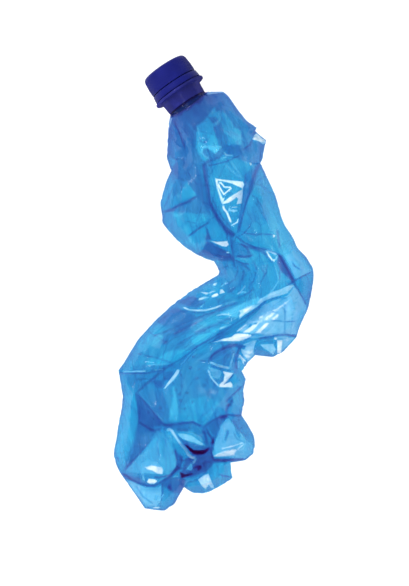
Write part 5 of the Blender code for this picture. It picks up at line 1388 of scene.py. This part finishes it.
def grip_rib(rib_height):
    """One rib of the cap's grip, tapered off at both ends."""
    rows = [(CAP_FOOT + 0.5, 15.02, 0.0), (CAP_FOOT + 0.8, 15.02, 1.0), (CAP_FOOT + 4.6, 15.0, 1.0),
            (CAP_TOP - 2.4, 14.6, 1.0), (CAP_TOP - 1.7, 14.45, 0.1)]
    section = [(-0.26, -0.12), (-0.17, 0.6), (0.0, 1.0), (0.17, 0.6), (0.26, -0.12)]
    sides = len(section)
    points = []
    for height, radius, full in rows:
        base = radius - rib_height
        for across, out in section:
            points.append((base + out * rib_height * full - 0.03, across, height))
    faces = []
    for start in range(0, len(points) - sides, sides):
        for k in range(sides):
            a, b = start + k, start + (k + 1) % sides
            faces += [(a, b, b + sides), (a, b + sides, a + sides)]
    last = len(points) - sides
    faces += [(0, k + 1, k) for k in range(1, sides - 1)]
    faces += [(last, last + k, last + k + 1) for k in range(1, sides - 1)]
    return np.array(points), np.array(faces)


def cap_shell(rib_height):
    """The cap's turned shell: its side, rounded corner, slightly dished top, roof and bore."""
    side = CAP_RADIUS - rib_height
    top = CAP_TOP_RADIUS - rib_height
    profile = [(side - 0.35, CAP_FOOT), (side - 0.1, CAP_FOOT + 0.08), (side, CAP_FOOT + 0.3),
               (side, CAP_FOOT + 2.5), (side, CAP_FOOT + 4.6), ((side + top) / 2, CAP_TOP - 4.6),
               (top, CAP_TOP - CAP_CORNER)]
    for k in range(1, 10):
        angle = math.radians(10 * k)
        profile.append((top - CAP_CORNER + CAP_CORNER * math.cos(angle),
                        CAP_TOP - CAP_CORNER + CAP_CORNER * math.sin(angle)))
    profile += [(11.2, CAP_TOP - 0.02), (10.4, CAP_TOP - 0.18), (6.0, CAP_TOP - 0.2), (0, CAP_TOP - 0.2)]
    roof = MOUTH + 1.1
    profile += [(0, roof), (CAP_BORE - 0.5, roof), (CAP_BORE - 0.15, roof - 0.15), (CAP_BORE, roof - 0.5),
                (CAP_BORE, CAP_FOOT + 0.5), (CAP_BORE + 0.1, CAP_FOOT + 0.15), (CAP_BORE + 0.35, CAP_FOOT)]
    return turned_mesh(profile, TURNED_SIDES)


def band_shell():
    """The tamper band's turned ring, with the bead inside it that holds it under the neck's flange."""
    foot, top = BAND_FOOT, BAND_TOP
    profile = [(15.25, foot), (15.5, foot + 0.12), (15.6, foot + 0.4), (15.3, foot + 3.0), (15.12, top - 0.2),
               (14.95, top), (14.62, top), (14.6, top - 0.15), (14.6, foot + 1.6), (13.4, foot + 2.3),
               (13.2, foot + 2.0), (13.7, foot + 0.3), (14.1, foot)]
    return turned_mesh(profile, TURNED_SIDES)


def broken_bridge():
    """The stub of one broken bridge, standing on the band's top."""
    points, faces = turned_mesh([(0, -0.1), (0.32, -0.1), (0.3, 0.1), (0.18, 0.17), (0, 0.15)], 8)
    return points + [14.85, 0, BAND_TOP], faces


class CRUSHED_BOTTLE_OT_shell(bpy.types.Operator):
    """Makes the crumpled shell of the bottle, with its neck and thread"""

    bl_idname = "crushed_bottle.shell"
    bl_label = "Crumpled Shell"

    def execute(self, context):
        look = context.scene.crushed_bottle_shell
        points, faces, marks = shell_mesh(look)
        shell = make_mesh_object("crumpled_shell", points, faces, film_material(look), marks, 50)
        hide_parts("bottle")
        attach(shell, "bottle")
        return {"FINISHED"}


class CRUSHED_BOTTLE_OT_cap(bpy.types.Operator):
    """Makes the ribbed screw cap"""

    bl_idname = "crushed_bottle.cap"
    bl_label = "Screw Cap"

    def execute(self, context):
        look = context.scene.crushed_bottle_closure
        material = moulded_material("cap_blue", look.colour, look.roughness, 0.25)
        rib_height = look.rib_height / MM
        ribs = repeated_round(*grip_rib(rib_height), look.ribs, material)
        points, faces = joined(cap_shell(rib_height), ribs)
        cap = make_mesh_object("screw_cap", on_neck(points), faces, material, None, 35)
        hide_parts("cap")
        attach(cap, "cap")
        return {"FINISHED"}


class CRUSHED_BOTTLE_OT_band(bpy.types.Operator):
    """Makes the parted tamper band with its broken bridges"""

    bl_idname = "crushed_bottle.band"
    bl_label = "Tamper Band"

    def execute(self, context):
        look = context.scene.crushed_bottle_closure
        material = moulded_material("band_blue", look.colour, look.roughness + 0.03, 0.3)
        bridges = repeated_round(*broken_bridge(), look.bridges, material)
        points, faces = joined(band_shell(), bridges)
        band = make_mesh_object("parted_band", on_neck(points), faces, material, None, 35)
        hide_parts("tamper_band")
        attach(band, "bottle")
        return {"FINISHED"}


class CRUSHED_BOTTLE_OT_liner(bpy.types.Operator):
    """Gives the sealing disc inside the cap its soft pale plastic"""

    bl_idname = "crushed_bottle.liner"
    bl_label = "Sealing Liner"

    def execute(self, context):
        look = context.scene.crushed_bottle_closure
        material = moulded_material("liner_pale", look.liner, 0.5, 0.1)
        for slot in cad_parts["cap_liner"].material_slots:
            slot.material = material
        return {"FINISHED"}


def floor_material(look):
    """Pale paper, faintly mottled and lit from below."""
    material, tree, place = empty_material("pale_floor")
    paler = [min(1, c * 1.02) for c in look.floor]
    paper = add_mix_colour(tree, add_noise(place, 12.0, 3.0), look.floor, paler)
    show_surface(add_node(tree, "ShaderNodeBsdfPrincipled", {
        "Base Color": paper, "Roughness": 0.8, "Specular IOR Level": 0.2,
        "Emission Color": (1, 1, 1), "Emission Strength": look.floor_glow}))
    return material


def aim_light(name, place, size, energy, mirrored):
    """A white area light that faces the bottle and is mirrored in glossy film or not."""
    data = bpy.data.lights.new(name, "AREA")
    data.shape = "RECTANGLE"
    data.size, data.size_y = size
    data.energy = energy
    light = bpy.data.objects.new(name, data)
    light.visible_glossy = mirrored
    light.location = place
    target = Vector((0.0, 0.0, MIDDLE_HEIGHT))
    light.rotation_euler = (target - Vector(place)).to_track_quat("-Z", "Y").to_euler()
    bpy.context.scene.collection.objects.link(light)


def make_camera(look, scene):
    """The camera, looking straight down at the bottle."""
    data = bpy.data.cameras.new("camera")
    camera = bpy.data.objects.new("camera", data)
    camera.location = (*CAMERA_PLACE, look.camera_height)
    data.sensor_width = SENSOR
    data.lens = SENSOR * (look.camera_height - MIDDLE_HEIGHT) / look.frame_height
    data.clip_start, data.clip_end = 0.01, 20.0
    scene.collection.objects.link(camera)
    scene.camera = camera


class CRUSHED_BOTTLE_OT_studio(bpy.types.Operator):
    """Makes the pale floor, the soft lights and the camera above the bottle"""

    bl_idname = "crushed_bottle.studio"
    bl_label = "Studio"

    def execute(self, context):
        look = context.scene.crushed_bottle_studio
        scene = context.scene
        corners = [(x * FLOOR_REACH, y * FLOOR_REACH, 0) for x, y in ((-1, -1), (1, -1), (1, 1), (-1, 1))]
        floor = make_mesh_object("floor", corners, [(0, 1, 2, 3)], floor_material(look))

        world = bpy.data.worlds.new("pale_room")
        world.use_nodes = True
        room = world.node_tree.nodes["Background"]
        room.inputs["Color"].default_value = (0.94, 0.97, 1.0, 1.0)
        room.inputs["Strength"].default_value = look.sky
        scene.world = world
        aim_light("window", (-1.1, 0.7, 1.5), (1.5, 1.7), 55, False)
        aim_light("bounce", (1.3, -0.5, 1.2), (0.9, 1.4), 20, False)
        aim_light("front", (-0.2, -1.6, 1.1), (1.6, 0.7), 14, False)
        aim_light("strip", (-0.9, 0.2, 1.9), (0.09, 1.6), 5, True)
        make_camera(look, scene)
        scene.view_settings.view_transform = "Standard"
        scene.cycles.transparent_max_bounces = 24
        scene.cycles.max_bounces = 8
        return {"FINISHED"}


OPERATORS = (CRUSHED_BOTTLE_OT_shell, CRUSHED_BOTTLE_OT_cap, CRUSHED_BOTTLE_OT_band, CRUSHED_BOTTLE_OT_liner,
             CRUSHED_BOTTLE_OT_studio)
LOOKS = {"crushed_bottle_shell": BottleShellLook, "crushed_bottle_closure": ClosureLook,
         "crushed_bottle_studio": StudioLook}


class CRUSHED_BOTTLE_PT_panel(bpy.types.Panel):
    """Lists the bottle's pieces"""

    bl_idname = "CRUSHED_BOTTLE_PT_panel"
    bl_label = "Crushed Bottle"
    bl_space_type = "VIEW_3D"
    bl_region_type = "UI"
    bl_category = "Crushed Bottle"

    def draw(self, context):
        for operator in OPERATORS:
            self.layout.operator(operator.bl_idname)
        for key, look in LOOKS.items():
            box = self.layout.box()
            for name in look.__annotations__:
                box.prop(getattr(context.scene, key), name)


def register():
    """Registers the looks, the operators and the panel."""
    for look in LOOKS.values():
        bpy.utils.register_class(look)
    for operator in OPERATORS:
        bpy.utils.register_class(operator)
    bpy.utils.register_class(CRUSHED_BOTTLE_PT_panel)
    for key, look in LOOKS.items():
        setattr(bpy.types.Scene, key, bpy.props.PointerProperty(type=look))


def unregister():
    """Takes the looks, the operators and the panel away again."""
    for key in LOOKS:
        delattr(bpy.types.Scene, key)
    bpy.utils.unregister_class(CRUSHED_BOTTLE_PT_panel)
    for operator in reversed(OPERATORS):
        bpy.utils.unregister_class(operator)
    for look in LOOKS.values():
        bpy.utils.unregister_class(look)


def main():
    """Makes every piece and the studio."""
    register()
    bpy.ops.crushed_bottle.shell()
    bpy.ops.crushed_bottle.cap()
    bpy.ops.crushed_bottle.band()
    bpy.ops.crushed_bottle.liner()
    bpy.ops.crushed_bottle.studio()


if __name__ == "__main__":
    main()
